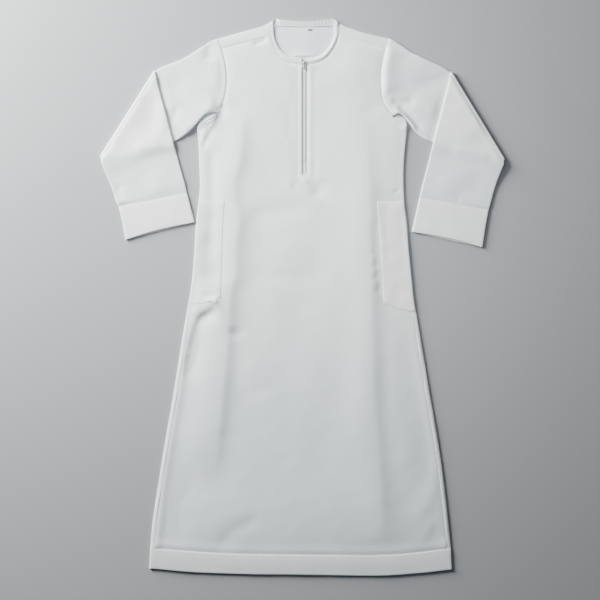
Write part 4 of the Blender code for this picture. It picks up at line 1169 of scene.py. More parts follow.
def sleeve_edges(side):
    """The end lines of the forearm's top edge, and the upper sleeve's underarm edge that it hides."""
    cover = np.array([side.forearm[0][:2], side.forearm[-1][:2]], float)
    return cover, np.array([(row.low_x, row.low_y) for row in side.upper[3:]], float)


print("hidden edge:", sleeve_edges(LEFT)[1].tolist())

# %% Rings of a sleeve
SLEEVE_FLOOR = CLOTH_THICK / 2
SLEEVE_EDGE = SLEEVE_SPACE / 2 + BED
UPPER_LOFT, FOREARM_LOFT = 1.9, 1.6        # how high each layer stands without any fold
RING_PITCH = 5.0                           # from one ring of the forearm to the next, about


def upper_height(side, line, armhole):
    """Height of the upper layer over the lower one, between the armhole and the elbow's crease.

    Hollows run right up to the seam, but ridges stay free of the seam and of the forearm on top.
    """
    left = side is LEFT
    free = ease((away_from(sleeve_edges(side)[0], line)[0] * side.sign - 3) / 18)
    dips = fold_heights([fold for fold in UPPER_FOLDS[side.name] if fold.height < 0], line)
    rises = fold_heights([fold for fold in UPPER_FOLDS[side.name] if fold.height > 0], line)
    lift = np.maximum((rises + UPPER_LOFT + 0.4 * sway(line, 80, 91)) * free + dips, -0.9)
    from_seam = np.linalg.norm(line - armhole, axis=1)
    to_pit = np.linalg.norm(line - armhole[-1], axis=1)
    held = hump(from_seam, 20 if left else 8)
    height = (SLEEVE_SPACE + lift) * (1 - held) + 2 * SIDE_ROUND * held
    height += (1.0 if left else 0.6) * (1 - 0.8 * hump(to_pit, 50)) * hump(from_seam - 5.5, 4.0)
    height += 2.0 * hump(to_pit, 26) * (1 - hump(from_seam, 6))
    uneven = np.sin(np.arange(ACROSS) * 2.1 + 3 * np.sin(np.arange(ACROSS) * 0.3))
    return height + 0.16 * uneven * hump(from_seam, 11) - 0.45 * hump(from_seam, 1.0)


def elbow_rings(side, crease, axis):
    """Half a turn round the elbow's crease, from the upper sleeve to the forearm on top of it."""
    flat = ring(crease, BED + SLEEVE_SPACE, SLEEVE_FLOOR, 1)
    pivot = np.append(crease[0], BED + SLEEVE_SPACE + CREASE_ROUND)
    rings = []
    for turn in range(0, 181, 15):
        spin = np.array(Matrix.Rotation(math.radians(turn) * side.sign, 3, Vector(axis)))
        rings.append([(pivot + spin @ (point - pivot), spin @ out) for point, out in flat])
    return rings


def forearm_rings(side, crease):
    """The forearm lies on the upper sleeve and drops to the floor past its hidden edge."""
    over_crease = BED + SLEEVE_SPACE + 2 * CREASE_ROUND
    over_flat = BED + SLEEVE_SPACE + UPPER_LOFT
    lines = [crease] + [across_points(row, ACROSS, SLEEVE_EDGE) for row in side.forearm]
    forearm = finer(lines, 7)[1:]
    slope = 27 + 65 * np.linspace(0, 1, ACROSS) ** 3
    hidden = sleeve_edges(side)[1]
    rings = []
    for k, line in enumerate(forearm):
        beyond = away_from(hidden, line)[0] * side.sign
        from_crease = np.abs(away_from(crease[[0, -1]], line)[0])
        carried = over_flat + (over_crease - over_flat) * hump(from_crease, 22)
        low = SLEEVE_FLOOR + (carried - SLEEVE_FLOOR) * (1 - ease((beyond - DROP_START) / slope))
        near_cuff = (len(forearm) - 1 - k) * RING_PITCH
        lift = fold_heights(FOREARM_FOLDS[side.name], line) + FOREARM_LOFT + 0.5 * sway(line, 90, 95)
        lift = np.maximum(lift, -0.6) * ease(from_crease / (13 + 3 * sway(line, 40, 96)))
        high = low + SLEEVE_SPACE + lift * ease((near_cuff + 6) / 40)
        high += pucker(forearm[-1], line, 0.22, 9.0, 9.0, 97) - 0.35 * hump(near_cuff, 2.5)
        rings.append(ring(line, low, high, -1))
    return rings


def sleeve_rings(side):
    armhole = armhole_line(side, SIDE_ROUND + BED, SEAM_GAP, ACROSS)
    lines, crease = upper_lines(side, armhole, SLEEVE_EDGE)
    axis = np.append(crease[-1] - crease[0], 0)
    axis /= np.linalg.norm(axis)
    outside = np.array([axis[1], -axis[0]]) * -side.sign
    crease = crease - outside * (CREASE_ROUND + SLEEVE_SPACE + BED)
    upper = finer(lines + [crease], 6)
    near_seam = [upper[0] + (upper[1] - upper[0]) * part for part in (0.18, 0.42, 0.7)]
    upper = np.concatenate([upper[:1], near_seam, upper[1:-1]])
    rings = [ring(line, BED + upper_height(side, line, armhole), SLEEVE_FLOOR, 1) for line in upper]
    return rings + elbow_rings(side, crease, axis) + forearm_rings(side, crease)


print("a sleeve's layers turn", SLEEVE_EDGE, "mm inside its outline")

# %% Sleeves


def sleeve_layers(side):
    """Cloth under each point of a sleeve: most where the forearm lies on the upper sleeve."""
    cover, hidden = sleeve_edges(side)

    def layers(middle):
        flat = middle[:, :2]
        over = ease((12 - away_from(hidden, flat)[0] * side.sign) / 20)
        over *= ease((3 - away_from(cover, flat)[0] * side.sign) / 3)
        by_seam = ease((9 - np.abs(away_from(armhole_line(side, 0, count=20), flat)[0])) / 4)
        return np.minimum(0.22 + 0.6 * over + 0.4 * by_seam, 1)

    return layers


sleeves = [tube("sleeve_cloth_" + side.name, sleeve_rings(side), CLOTH_THICK, sleeve_layers(side))
           for side in BOTH]

# %% [markdown]
# ## Cuffs and hem
#
# Both are bands of doubled cloth round the end of a tube, so they use the same rings. Where a band
# ends it is open: the upper layer stops a little short, and the lower layer shows under it as a thin
# pale line. That gap is what tells the eye that the robe is hollow.

# %% Cuffs
BAND_BED = 1.0             # what the band's own cloth adds to the space between its layers
CUFF_SPACE, CUFF_LONG = 2.7, 80.0


def cuff_seam(side):
    """The line between a forearm and its cuff, from the top edge to the underarm edge."""
    return np.reshape(side.forearm[-1], (2, 2)).astype(float)


def cuff_rings(side):
    seam = shift(cuff_seam(side), SEAM_GAP * side.sign)
    rows = [SleeveRow(*seam.ravel())] + side.cuff
    lines = finer([across_points(row, ACROSS, CUFF_SPACE / 2 + 1) for row in rows], 9)
    inner = np.sin(np.pi * np.arange(ACROSS) / (ACROSS - 1))[:, None]
    rings = []
    for k, line in enumerate(lines):
        along = k / (len(lines) - 1)
        near_seam, near_end = along * CUFF_LONG, (1 - along) * CUFF_LONG
        loose = 0.5 * (0.4 + 0.6 * along) + 0.22 * sway(line, 70, 101)
        loose += pucker(lines[0], line, 0.16, 8.0, 7.0, 103)
        high = BAND_BED + CUFF_SPACE + loose * inner[:, 0] - 0.45 * hump(near_seam, 2.0)
        high -= 0.25 * hump(near_seam - 4.5, 1.5) + 0.3 * hump(near_end, 1.6)
        run = line[-1] - line[0]
        back_way = np.array([-run[1], run[0], 0]) / np.linalg.norm(run) * side.sign
        rings.append(pushed(ring(line, DOUBLE_THICK / 2, high, -1), ACROSS + len(EDGE_TURNS),
                            back_way * 4.5 * inner * ease((along - 0.3) / 0.7)))
    return rings


def cuff_layers(side):
    return lambda middle: 0.7 + 0.3 * ease((8 - np.abs(away_from(cuff_seam(side), middle[:, :2])[0])) / 3)


cuffs = [tube("cuff_cloth_" + side.name, cuff_rings(side), DOUBLE_THICK, cuff_layers(side))
         for side in BOTH]

# %% Hem
HEM_COUNT = 190
HEM_FLARE = 2.5
HEM_SPACE, HEM_DEEP = 2.6, 55.0
HEM_PARTS = (0, 0.03, 0.07, 0.11, 0.16, 0.24, 0.34, 0.45, 0.56, 0.67, 0.78, 0.88, 0.94, 0.975, 1.0)


def hem_rings():
    inset = HEM_SPACE / 2 + BAND_BED
    lines = []
    for line in (hem_line(1), hem_line(2)):
        xs = np.linspace(line[0][0] + inset, line[-1][0] - inset, HEM_COUNT)
        lines.append(np.column_stack([xs, np.interp(xs, line[:, 0], line[:, 1])]))
    seam, edge = lines
    edge[:, 0] += HEM_FLARE * np.linspace(-1, 1, HEM_COUNT) ** 3
    flat = np.sin(np.pi * np.arange(HEM_COUNT) / (HEM_COUNT - 1)) ** 0.25
    rings = []
    for part in HEM_PARTS:
        line = seam + (edge - seam) * part
        down = part * HEM_DEEP
        loose = 0.7 * math.sin(math.pi * min(part + 0.12, 1)) + 0.3 * sway(line, 110, 111)
        loose += pucker(seam, line, 0.16, 9.0, 9.0, 113) + pucker(edge, line, 0.12, 14.0, 14.0, 115)
        high = BAND_BED + HEM_SPACE + loose * flat - 0.4 * hump(down, 1.3)
        high -= 0.25 * hump(down - 5.5, 1.4) + 0.35 * hump(HEM_DEEP - down, 1.6)
        short = (2.6 + 1.2 * sway(edge, 160, 117)) * flat * ease((part - 0.4) / 0.6)
        rings.append(pushed(ring(line, high, DOUBLE_THICK / 2, 1), 0, short[:, None] * (0, 1, 0)))
    return rings


def hem_layers_and_painted_shade(middle):
    away, _ = away_from(stretch(hem_line(1), count=40), middle[:, :2])
    # Painted shade: the doubled band is kept near the thin tone at the foot of the robe, and only its seam
    # is packed.
    return 0.08 + 0.5 * ease((8 - np.abs(away)) / 3)


hem = tube("hem_band", hem_rings(), DOUBLE_THICK, hem_layers_and_painted_shade)

# %% [markdown]
# ## Node trees
#
# Finishes are networks of shader nodes, and rows of equal small parts are grown by Geometry Nodes. Both
# are built here with the same few helpers: one adds a node and links it, and one does a sum. A grown
# piece is then kept as a plain mesh, because only plain meshes are exported.

# %% Node tree helpers


def add_sockets(tree, way, sockets):
    """Named sockets on a node group: (name, kind) or (name, kind, value), going IN or OUT."""
    for label, kind, *value in sockets:
        socket = tree.interface.new_socket(label, in_out=way + "PUT", socket_type="NodeSocket" + kind)
        if value:
            socket.default_value = value[0]


def new_tree(name, inputs):
    """An empty geometry tree with named inputs and a geometry in and out."""
    tree = bpy.data.node_groups.new(name, "GeometryNodeTree")
    add_sockets(tree, "IN", [("Geometry", "Geometry")] + inputs)
    add_sockets(tree, "OUT", [("Geometry", "Geometry")])
    return tree


def wire(tree, value, socket):
    if isinstance(value, bpy.types.NodeSocket):
        tree.links.new(value, socket)
    else:
        socket.default_value = value


def add(tree, kind, settings=None, **inputs):
    """A new node with some of its settings, and some of its inputs set or linked."""
    node = tree.nodes.new(kind)
    for label, value in (settings or {}).items():
        setattr(node, label, value)
    for label, value in inputs.items():
        wire(tree, value, node.inputs[label.replace("_", " ")])
    return node


def maths(tree, operation, first, second=0.0):
    node = add(tree, "ShaderNodeMath", {"operation": operation})
    wire(tree, first, node.inputs[0])
    wire(tree, second, node.inputs[1])
    return node.outputs[0]


def applied(piece, step):
    """What a modifier makes of a piece, kept as its plain mesh without the modifier."""
    bpy.context.view_layer.update()
    plain = bpy.data.meshes.new_from_object(piece.evaluated_get(bpy.context.evaluated_depsgraph_get()))
    piece.modifiers.remove(step)
    piece.data = plain
    plain.shade_smooth()
    return plain


def grown(name, path_points, runs, tree, material, **values):
    """Run a geometry tree on lines of points (millimetres), and keep the result as a plain mesh."""
    mesh = bpy.data.meshes.new(name + "_path")
    mesh.from_pydata((np.array(path_points) * MM).tolist(), runs, [])
    piece = linked(name, mesh)
    step = piece.modifiers.new("grow", "NODES")
    step.node_group = tree
    sockets = {item.name: item.identifier for item in tree.interface.items_tree
               if item.item_type == "SOCKET" and item.in_out == "INPUT"}
    step[sockets["Finish"]] = material
    for label, value in values.items():
        step[sockets[label]] = value
    plain = applied(piece, step)
    plain.name = name
    bpy.data.meshes.remove(mesh)
    print(f"{name}: {len(plain.polygons)} faces")
    return piece


def spaced_points(tree, given):
    """Points along the given lines, a pitch apart."""
    curve = add(tree, "GeometryNodeMeshToCurve", Mesh=given["Geometry"])
    return add(tree, "GeometryNodeResampleCurve", {"mode": "LENGTH"}, Curve=curve.outputs[0],
               Length=given["Pitch"])


def grow_balls(tree, given, points, size, segments, rings, **placing):
    """A ball stretched to a size on each point, made real and given its finish, as the tree's result."""
    ball = add(tree, "GeometryNodeMeshUVSphere", Segments=segments, Rings=rings, Radius=0.5)
    shape = add(tree, "GeometryNodeTransform", Geometry=ball.outputs[0], Scale=size.outputs[0])
    placed = add(tree, "GeometryNodeInstanceOnPoints", Points=points.outputs[0],
                 Instance=shape.outputs[0], **placing)
    real = add(tree, "GeometryNodeRealizeInstances", Geometry=placed.outputs[0])
    done = add(tree, "GeometryNodeSetMaterial", Geometry=real.outputs[0], Material=given["Finish"])
    add(tree, "NodeGroupOutput", Geometry=done.outputs[0])
    return tree


print("node groups so far:", len(bpy.data.node_groups))

# %% [markdown]
# ## Finishes
#
# The cloth is a smooth matte plain weave. Where few layers lie on each other a little of what is under
# them shows through, so the cloth is cooler. Seams, cuffs, the hem's seam and the right pocket are packed
# thicker, so they are whiter. Each mesh carries how packed it is, and one recipe blends the two tones by
# it. The same value also paints shade: the front and the hem band fade to the cooler, darker thin tone
# towards the hem, where the lamp's light falls off, and the left pocket is kept near the thin tone, so
# that it is darker than the right. The threads are real size, so they show only close up.

# %% Shared shader effects


def group_shader(name, inputs, outputs):
    tree = bpy.data.node_groups.new(name, "ShaderNodeTree")
    add_sockets(tree, "IN", inputs)
    add_sockets(tree, "OUT", outputs)
    return tree, tree.nodes.new("NodeGroupInput").outputs, tree.nodes.new("NodeGroupOutput").inputs


def spread(tree, value, low, high, start=0.0, end=1.0):
    """A value from start to end, carried over to the range from low to high."""
    return add(tree, "ShaderNodeMapRange", Value=value, From_Min=start, From_Max=end,
               To_Min=low, To_Max=high).outputs[0]


def mixed_colour(tree, share, first, second):
    """A blend of two colours by a share from 0 to 1."""
    blend = add(tree, "ShaderNodeMix", {"data_type": "RGBA"}, Factor=share)
    wire(tree, first, blend.inputs[6])
    wire(tree, second, blend.inputs[7])
    return blend.outputs[2]


def make_weave():
    """Plain weave: crossing threads as height, with slubs where a thread is thicker."""
    tree, given, gives = group_shader(
        "plain_weave",
        [("Place", "Vector", (0, 0, 0)), ("Threads per metre", "Float", 2600.0), ("Slub", "Float", 0.4)],
        [("Height", "Float"), ("Slubs", "Float")])
    split = add(tree, "ShaderNodeSeparateXYZ", Vector=given["Place"])
    turns = maths(tree, "MULTIPLY", given["Threads per metre"], math.pi)
    waves = [maths(tree, "SINE", maths(tree, "MULTIPLY", split.outputs[axis], turns)) for axis in (0, 1)]
    woven = maths(tree, "MULTIPLY", *waves)
    slubs = []
    for scale in ((90.0, 1500.0, 1.0), (1500.0, 90.0, 1.0)):
        drawn = add(tree, "ShaderNodeVectorMath", {"operation": "MULTIPLY"})
        wire(tree, given["Place"], drawn.inputs[0])
        wire(tree, scale, drawn.inputs[1])
        noise = add(tree, "ShaderNodeTexNoise", Vector=drawn.outputs[0], Scale=1.0, Detail=2.0)
        slubs.append(noise.outputs[0])
    both = maths(tree, "MULTIPLY", maths(tree, "ADD", *slubs), 0.5)
    thick = maths(tree, "MULTIPLY", both, given["Slub"])
    wire(tree, both, gives["Slubs"])
    wire(tree, maths(tree, "ADD", maths(tree, "MULTIPLY", woven, 0.5), thick), gives["Height"])
    return tree


def make_tone():
    """The cloth's tone between thin and packed, set by layers and painted shade, with the slow, faint
    changes of pressed cloth.
    """
    tree, given, gives = group_shader(
        "cloth_tone",
        [("Place", "Vector", (0, 0, 0)), ("Slubs", "Float", 0.5), ("Layers", "Float", 0.3),
         ("Packed tone", "Color", (0.8, 0.8, 0.8, 1)), ("Thin tone", "Color", (0.7, 0.7, 0.7, 1))],
        [("Color", "Color"), ("Roughness", "Float")])
    broad = add(tree, "ShaderNodeTexNoise", Vector=given["Place"], Scale=9.0, Detail=4.0, Roughness=0.6)
    mixed = maths(tree, "ADD", maths(tree, "MULTIPLY", broad.outputs[0], 0.7),
                  maths(tree, "MULTIPLY", given["Slubs"], 0.3))
    uneven = maths(tree, "ADD", spread(tree, mixed, -0.12, 0.12, 0.35, 0.65), given["Layers"])
    packed = add(tree, "ShaderNodeClamp", Value=uneven)
    wire(tree, mixed_colour(tree, packed.outputs[0], given["Thin tone"], given["Packed tone"]),
         gives["Color"])
    wire(tree, spread(tree, given["Slubs"], 0.78, 0.92), gives["Roughness"])
    return tree


WEAVE = make_weave()
TONE = make_tone()
print("shared effects:", WEAVE.name, TONE.name)

# %% Cloth finishes


def add_relief(tree, shader, height, strength, distance):
    """A height as a bump on the shader's normal."""
    relief = add(tree, "ShaderNodeBump", Height=height, Strength=strength, Distance=distance)
    wire(tree, relief.outputs[0], shader.inputs["Normal"])


def cloth_finish(name, packed, thin, threads, bump):
    material, shader = new_material(name, Sheen_Weight=0.12, Sheen_Roughness=0.5, Specular_IOR_Level=0.25)
    tree = material.node_tree
    cut = add(tree, "ShaderNodeUVMap", {"uv_map": "cut"})
    weave = add(tree, "ShaderNodeGroup", {"node_tree": WEAVE}, Place=cut.outputs[0],
                Threads_per_metre=threads)
    # The layers attribute also carries the painted shade of the front, the hem band and the left pocket.
    layers = add(tree, "ShaderNodeAttribute", {"attribute_name": "layers"})
    where = add(tree, "ShaderNodeTexCoord")
    tone = add(tree, "ShaderNodeGroup", {"node_tree": TONE}, Place=where.outputs["Object"],
               Slubs=weave.outputs["Slubs"], Layers=layers.outputs["Fac"],
               Packed_tone=(*packed, 1), Thin_tone=(*thin, 1))
    wire(tree, tone.outputs["Color"], shader.inputs["Base Color"])
    wire(tree, tone.outputs["Roughness"], shader.inputs["Roughness"])
    add_relief(tree, shader, weave.outputs["Height"], bump, 0.0002)
    return material


# The thin tone is darker and cooler; where the front and the hem band fade to it, it is painted shade.
single_cloth = cloth_finish("white_suiting", (0.88, 0.885, 0.88), (0.69, 0.765, 0.78), 2600.0, 0.13)
double_cloth = cloth_finish("white_suiting_doubled", (0.885, 0.885, 0.875), (0.73, 0.78, 0.79), 2600.0, 0.13)
tape_cloth = cloth_finish("zip_tape_twill", (0.74, 0.75, 0.76), (0.64, 0.655, 0.67), 1600.0, 0.4)
print("cloth finishes:", single_cloth.name, double_cloth.name, tape_cloth.name)

# %% Other finishes


def plain_finish(name, colour, roughness, metallic, grain, bump):
    """A moulded, spun or plated finish with a faint grain of its own scale, in Object coordinates."""
    material, shader = new_material(name, Metallic=metallic)
    tree = material.node_tree
    where = add(tree, "ShaderNodeTexCoord")
    noise = add(tree, "ShaderNodeTexNoise", Vector=where.outputs["Object"], Scale=grain, Detail=3.0)
    noise = noise.outputs[0]
    darker = (*[c * 0.9 for c in colour], 1)
    wire(tree, spread(tree, noise, roughness * 0.8, roughness * 1.25), shader.inputs["Roughness"])
    wire(tree, mixed_colour(tree, noise, darker, (*colour, 1)), shader.inputs["Base Color"])
    add_relief(tree, shader, noise, bump, 0.0001)
    return material


thread = plain_finish("sewing_thread", (0.84, 0.845, 0.84), 0.75, 0.0, 9000.0, 0.5)
nylon = plain_finish("nylon_coil", (0.82, 0.82, 0.80), 0.38, 0.0, 2500.0, 0.15)
plated = plain_finish("bright_plating", (0.80, 0.80, 0.79), 0.22, 1.0, 900.0, 0.08)
dark_tab = plain_finish("dark_woven_tab", (0.13, 0.13, 0.14), 0.9, 0.0, 4000.0, 0.6)

for piece in (front, back, *sleeves):
    piece.data.materials.append(single_cloth)
for piece in (neckband, hem, *pockets, *cuffs):
    piece.data.materials.append(double_cloth)
print("materials:", len(bpy.data.materials))

# %% [markdown]
# ## The zip
#
# A nylon zip is a coil: one thread wound in small loops along each tape, so that the two rows of loops
# lock. Hundreds of equal loops that follow a line are work for Geometry Nodes. The tree takes a line,
# spaces points along it and puts one small tooth on each, a little to the left and right in turn.

# %% Zip tapes
TAPE_LOW, TAPE_THICK, TAPE_WIDTH, TAPE_SHOULDER = 1.5, 0.7, 11.0, 602.0


def make_tape(name, sign):
    """One tape of the zip in fine twill. The left one has a soft ridge beside the coil."""
    xs = [0.15, 0.8, 1.6, 2.4, 3.2, 4.2, 5.2, 5.9, 7.0, 8.5, 10.0, 11.0]
    narrow = (ZIP_WINDOW / 2 - 0.3) / TAPE_WIDTH
    middle, cut = [], []
    for y in np.linspace(ZIP_END - 14, ZIP_TOP, 150):
        for x in xs:
            rise = 0.08 * math.cos(y * 2.0 + sign * x * 2.0)
            if sign < 0:
                rise += 0.35 * hump(x - 4.4, 1.8)
            across = x if y < TAPE_SHOULDER else x * narrow
            middle.append((ZIP_X + sign * across, y, TAPE_LOW + TAPE_THICK / 2 + rise))
            cut.append((x, y))
    faces = grid_faces(len(middle), len(xs))
    if sign > 0:
        faces = [face[::-1] for face in faces]
    piece = shell(name, middle, faces, 0.5, np.array(cut))
    piece.data.materials.append(tape_cloth)
    return piece


tapes = [make_tape("zip_tape_cloth_left", -1), make_tape("zip_tape_cloth_right", 1)]

# %% Zip coil
COIL_LOW, COIL_THICK, TOOTH_PITCH = 2.5, 1.6, 1.35
COIL_X = ZIP_X + 2.6


def tooth_tree():
    tree = new_tree("row_of_coil_loops", [
        ("Pitch", "Float", 0.00135), ("Reach", "Float", 0.0036), ("Thread", "Float", 0.0009),
        ("Stagger", "Float", 0.0006), ("Finish", "Material")])
    given = add(tree, "NodeGroupInput").outputs
    spaced = spaced_points(tree, given)
    index = add(tree, "GeometryNodeInputIndex")
    odd = maths(tree, "SUBTRACT", maths(tree, "MODULO", index.outputs[0], 2.0), 0.5)
    beside = add(tree, "ShaderNodeCombineXYZ", X=maths(tree, "MULTIPLY", odd, given["Stagger"]))
    moved = add(tree, "GeometryNodeSetPosition", Geometry=spaced.outputs[0], Offset=beside.outputs[0])
    size = add(tree, "ShaderNodeCombineXYZ", X=given["Reach"], Y=given["Thread"],
               Z=maths(tree, "MULTIPLY", given["Thread"], 1.2))
    return grow_balls(tree, given, moved, size, 8, 6)


coil_z = COIL_LOW + COIL_THICK / 2
coil = grown("zip_coil_loops", [(COIL_X, ZIP_END + 1.5, coil_z), (COIL_X, ZIP_TOP - 6, coil_z)], [(0, 1)],
             tooth_tree(), nylon, Pitch=TOOTH_PITCH * MM, Reach=7.8 * MM, Thread=1.0 * MM, Stagger=0.8 * MM)

# %% [markdown]
# ## Slider and pull
#
# The slider and its pull are the only hard pieces. The pull hangs on the slider's arch and can swing,
# so it is a piece of its own that rides on its own body, with its eye round the arch. Both are cut
# from plates and get a small bevel, because cast metal never has a knife edge and the bevel catches
# the light.

# %% Metal helpers


def plate(name, outline, low, high, holes=(), bevel=0.25, turn=None):
    """A plate from an outline, with holes, between two heights; turn can stand it up."""
    points = [Vector(p) for p in outline]
    edges = [(k, (k + 1) % len(outline)) for k in range(len(outline))]
    for hole in holes:
        first = len(points)
        points += [Vector(p) for p in hole]
        edges += [(first + k, first + (k + 1) % len(hole)) for k in range(len(hole))]
    verts, _, faces, _, _, _ = delaunay_2d_cdt(points, edges, [], 5 if holes else 1, 1e-5)
    if not holes:
        verts, faces = points, [list(range(len(points)))]
    count = len(verts)
    solid = [(v.x, v.y, z) for z in (low, high) for v in verts]
    pairs = {(a, b) for face in faces for a, b in zip(face, list(face[1:]) + [face[0]])}
    rims = [(a, b) for a, b in sorted(pairs) if (b, a) not in pairs]
    walls = [[b + count, a + count, a, b] for a, b in rims]
    caps = [list(face)[::-1] for face in faces] + [[k + count for k in face] for face in faces]
    mesh = bpy.data.meshes.new(name)
    solid = [tuple(turn @ Vector(p)) if turn else p for p in solid]
    mesh.from_pydata([tuple(c * MM for c in p) for p in solid], [], caps + walls)
    mesh.validate()
    piece = linked(name, mesh)
    round_over(piece, bevel)
    return piece


def round_over(piece, bevel):
    """Round a piece's sharp edges, and keep the result as a plain mesh."""
    step = piece.modifiers.new("round", "BEVEL")
    step.width = bevel * MM
    step.segments = 3
    step.limit_method = "ANGLE"
    step.angle_limit = math.radians(40)
    applied(piece, step)


def merged(name, pieces, material):
    """Several meshes as one piece, with its faces made to point outward."""
    whole = bmesh.new()
    for piece in pieces:
        whole.from_mesh(piece.data)
        bpy.data.objects.remove(piece)
    bmesh.ops.recalc_face_normals(whole, faces=whole.faces)
    mesh = bpy.data.meshes.new(name)
    whole.to_mesh(mesh)
    whole.free()
    mesh.materials.clear()
    mesh.materials.append(material)
    mesh.shade_smooth()
    mesh.set_sharp_from_angle(angle=math.radians(35))
    print(f"{name}: {len(mesh.polygons)} faces")
    return linked(name, mesh)


def arc(centre_x, centre_y, radius_x, radius_y, start, stop, count):
    """Points on a part of an ellipse, from one angle to another in degrees."""
    turns = [math.radians(a) for a in np.linspace(start, stop, count)]
    return [(centre_x + radius_x * math.cos(t), centre_y + radius_y * math.sin(t)) for t in turns]


def mirrored(half, between=()):
    """A half outline, some points between, and the half again on the other side."""
    return [*half, *between, *((-x, y) for x, y in half[::-1])]


print("mirrored:", mirrored([(-1, 0), (-1, 1)]))

# %% Slider
PIVOT_Y, PIVOT_Z = 611.5, 6.5
ON_SIDE = Matrix(((0, 0, 1), (1, 0, 0), (0, 1, 0)))        # a flat y, z outline stood up across x
FLANGE_LOW, DECK_LOW, DECK_HIGH, ARCH_TOP = 2.5, 4.4, 5.6, 8.3
ARCH_SPAN, ARCH_METAL = 3.4, 0.9
SUNK = 0.3                 # how far the slider's parts reach into each other


def on_zip(points):
    """Points given from the slider's pivot, in the robe's own measures."""
    return [(ZIP_X + x, PIVOT_Y + y) for x, y in points]


deck = (arc(0, 1.4, 4.2, 2.2, 0, 180, 15) + [(-3.6, -1.5)]
        + arc(0, -3.2, 3.0, 1.8, 180, 360, 13) + [(3.6, -1.5)])
slider_parts = [plate("deck", on_zip(deck), DECK_LOW, DECK_HIGH, bevel=0.3)]
flange = [(2.9, -3.8), (3.5, -3.6), (3.9, -1.5), (4.2, 1.2), (3.9, 2.8), (3.1, 3.0), (3.2, 1.0)]
for sign in (-1, 1):
    outline = on_zip([(sign * x, y) for x, y in flange])[::sign]
    slider_parts.append(plate("flange", outline, FLANGE_LOW, DECK_LOW + SUNK, bevel=0.2))
arch_high = ARCH_TOP - DECK_HIGH + SUNK
arch = (arc(0, 0, ARCH_SPAN, arch_high, 0, 180, 21)
        + arc(0, 0, ARCH_SPAN - ARCH_METAL, arch_high - ARCH_METAL, 180, 0, 21))
arch_outline = [(PIVOT_Y + y, DECK_HIGH - SUNK + z) for y, z in arch]
slider_parts.append(plate("arch", arch_outline, ZIP_X - 0.9, ZIP_X + 0.9, bevel=0.2, turn=ON_SIDE))
slider = merged("zip_slider_metal", slider_parts, plated)

# %% Pull
PULL_HALF_THICK = 0.6
pull_half = [(-2.0, 0.5), (-2.45, 0.1), (-2.45, -5.6), (-1.75, -8.5), (-2.1, -13.0), (-2.5, -17.0)]
pull_outline = on_zip(mirrored(pull_half, arc(0, -18.4, 2.5, 2.6, 180, 360, 13)))
eye = on_zip(mirrored([(-1.25, -0.5), (-1.25, -4.6), (-0.6, -5.5)]))
tip_hole = on_zip(arc(0, -17.6, 1.1, 1.5, 0, 345, 16))
pull_plate = plate("pull_plate", pull_outline, PIVOT_Z - PULL_HALF_THICK, PIVOT_Z + PULL_HALF_THICK,
                   (eye, tip_hole), bevel=0.22)
pull = merged("zip_pull_metal", [pull_plate], plated)

# %% [markdown]
# ## Size tab
#
# A small woven tab is sewn inside the back of the neck. It is a little piece of cloth of its own, bare,
# and only gently wavy, so a small grid of points with a slow ripple is enough.

# %% Size tab
TAB_X, TAB_Y, TAB_WIDE, TAB_TALL = 20.0, 695.0, 12.0, 5.0
TAB_LEVEL, TAB_THICK = 1.75, 0.35


def make_tab():
    """A small bare woven tab inside the back of the neck."""
    xs, ys = np.linspace(-TAB_WIDE / 2, TAB_WIDE / 2, 13), np.linspace(-TAB_TALL / 2, TAB_TALL / 2, 7)
    middle = [(TAB_X + a, TAB_Y + b, TAB_LEVEL + 0.12 * math.sin(a * 0.9) * math.cos(b * 0.7))
              for b in ys for a in xs]
    return shell("size_tab_cloth", middle, grid_faces(len(middle), len(xs)), TAB_THICK,
                 np.array(middle)[:, :2])


tab = make_tab()
tab.data.materials.append(dark_tab)

# %% [markdown]
# ## Stitches
#
# A lockstitch is a row of short, slightly sunk bars of thread. Thousands are needed, all alike, so a
# second tree sets one small rounded bar on each point of a line, turned along it, a little unevenly.
# The lines are first dropped onto the finished cloth, so that every stitch lies on its surface.

# %% Stitch tree


def stitch_tree():
    tree = new_tree("run_of_stitches", [
        ("Pitch", "Float", 0.003), ("Long", "Float", 0.0022), ("Wide", "Float", 0.0005),
        ("Sway", "Float", 0.06), ("Seed", "Int", 4), ("Finish", "Material")])
    given = add(tree, "NodeGroupInput").outputs
    spaced = spaced_points(tree, given)
    along = add(tree, "GeometryNodeInputTangent")
    turned = add(tree, "FunctionNodeAlignRotationToVector", {"axis": "X"}, Vector=along.outputs[0])
    uneven = add(tree, "FunctionNodeRandomValue", {"data_type": "FLOAT_VECTOR"}, Seed=given["Seed"])
    for socket, turn in zip(uneven.inputs, (maths(tree, "MULTIPLY", given["Sway"], -1.0), given["Sway"])):
        wire(tree, add(tree, "ShaderNodeCombineXYZ", Z=turn).outputs[0], socket)
    swung = add(tree, "FunctionNodeRotateRotation", {"rotation_space": "LOCAL"},
                Rotation=turned.outputs[0], Rotate_By=uneven.outputs[0])
    size = add(tree, "ShaderNodeCombineXYZ", X=given["Long"], Y=given["Wide"],
               Z=maths(tree, "MULTIPLY", given["Wide"], 0.8))
    return grow_balls(tree, given, spaced, size, 6, 4, Rotation=swung.outputs[0])


STITCHING = stitch_tree()
print("nodes in the stitch tree:", len(STITCHING.nodes))

# %% Dropping stitches onto cloth
STITCH_PITCH, STITCH_LONG, STITCH_WIDE = 3.0, 2.3, 0.5
RAY_START = 0.05           # in metres, clear above or below every cloth


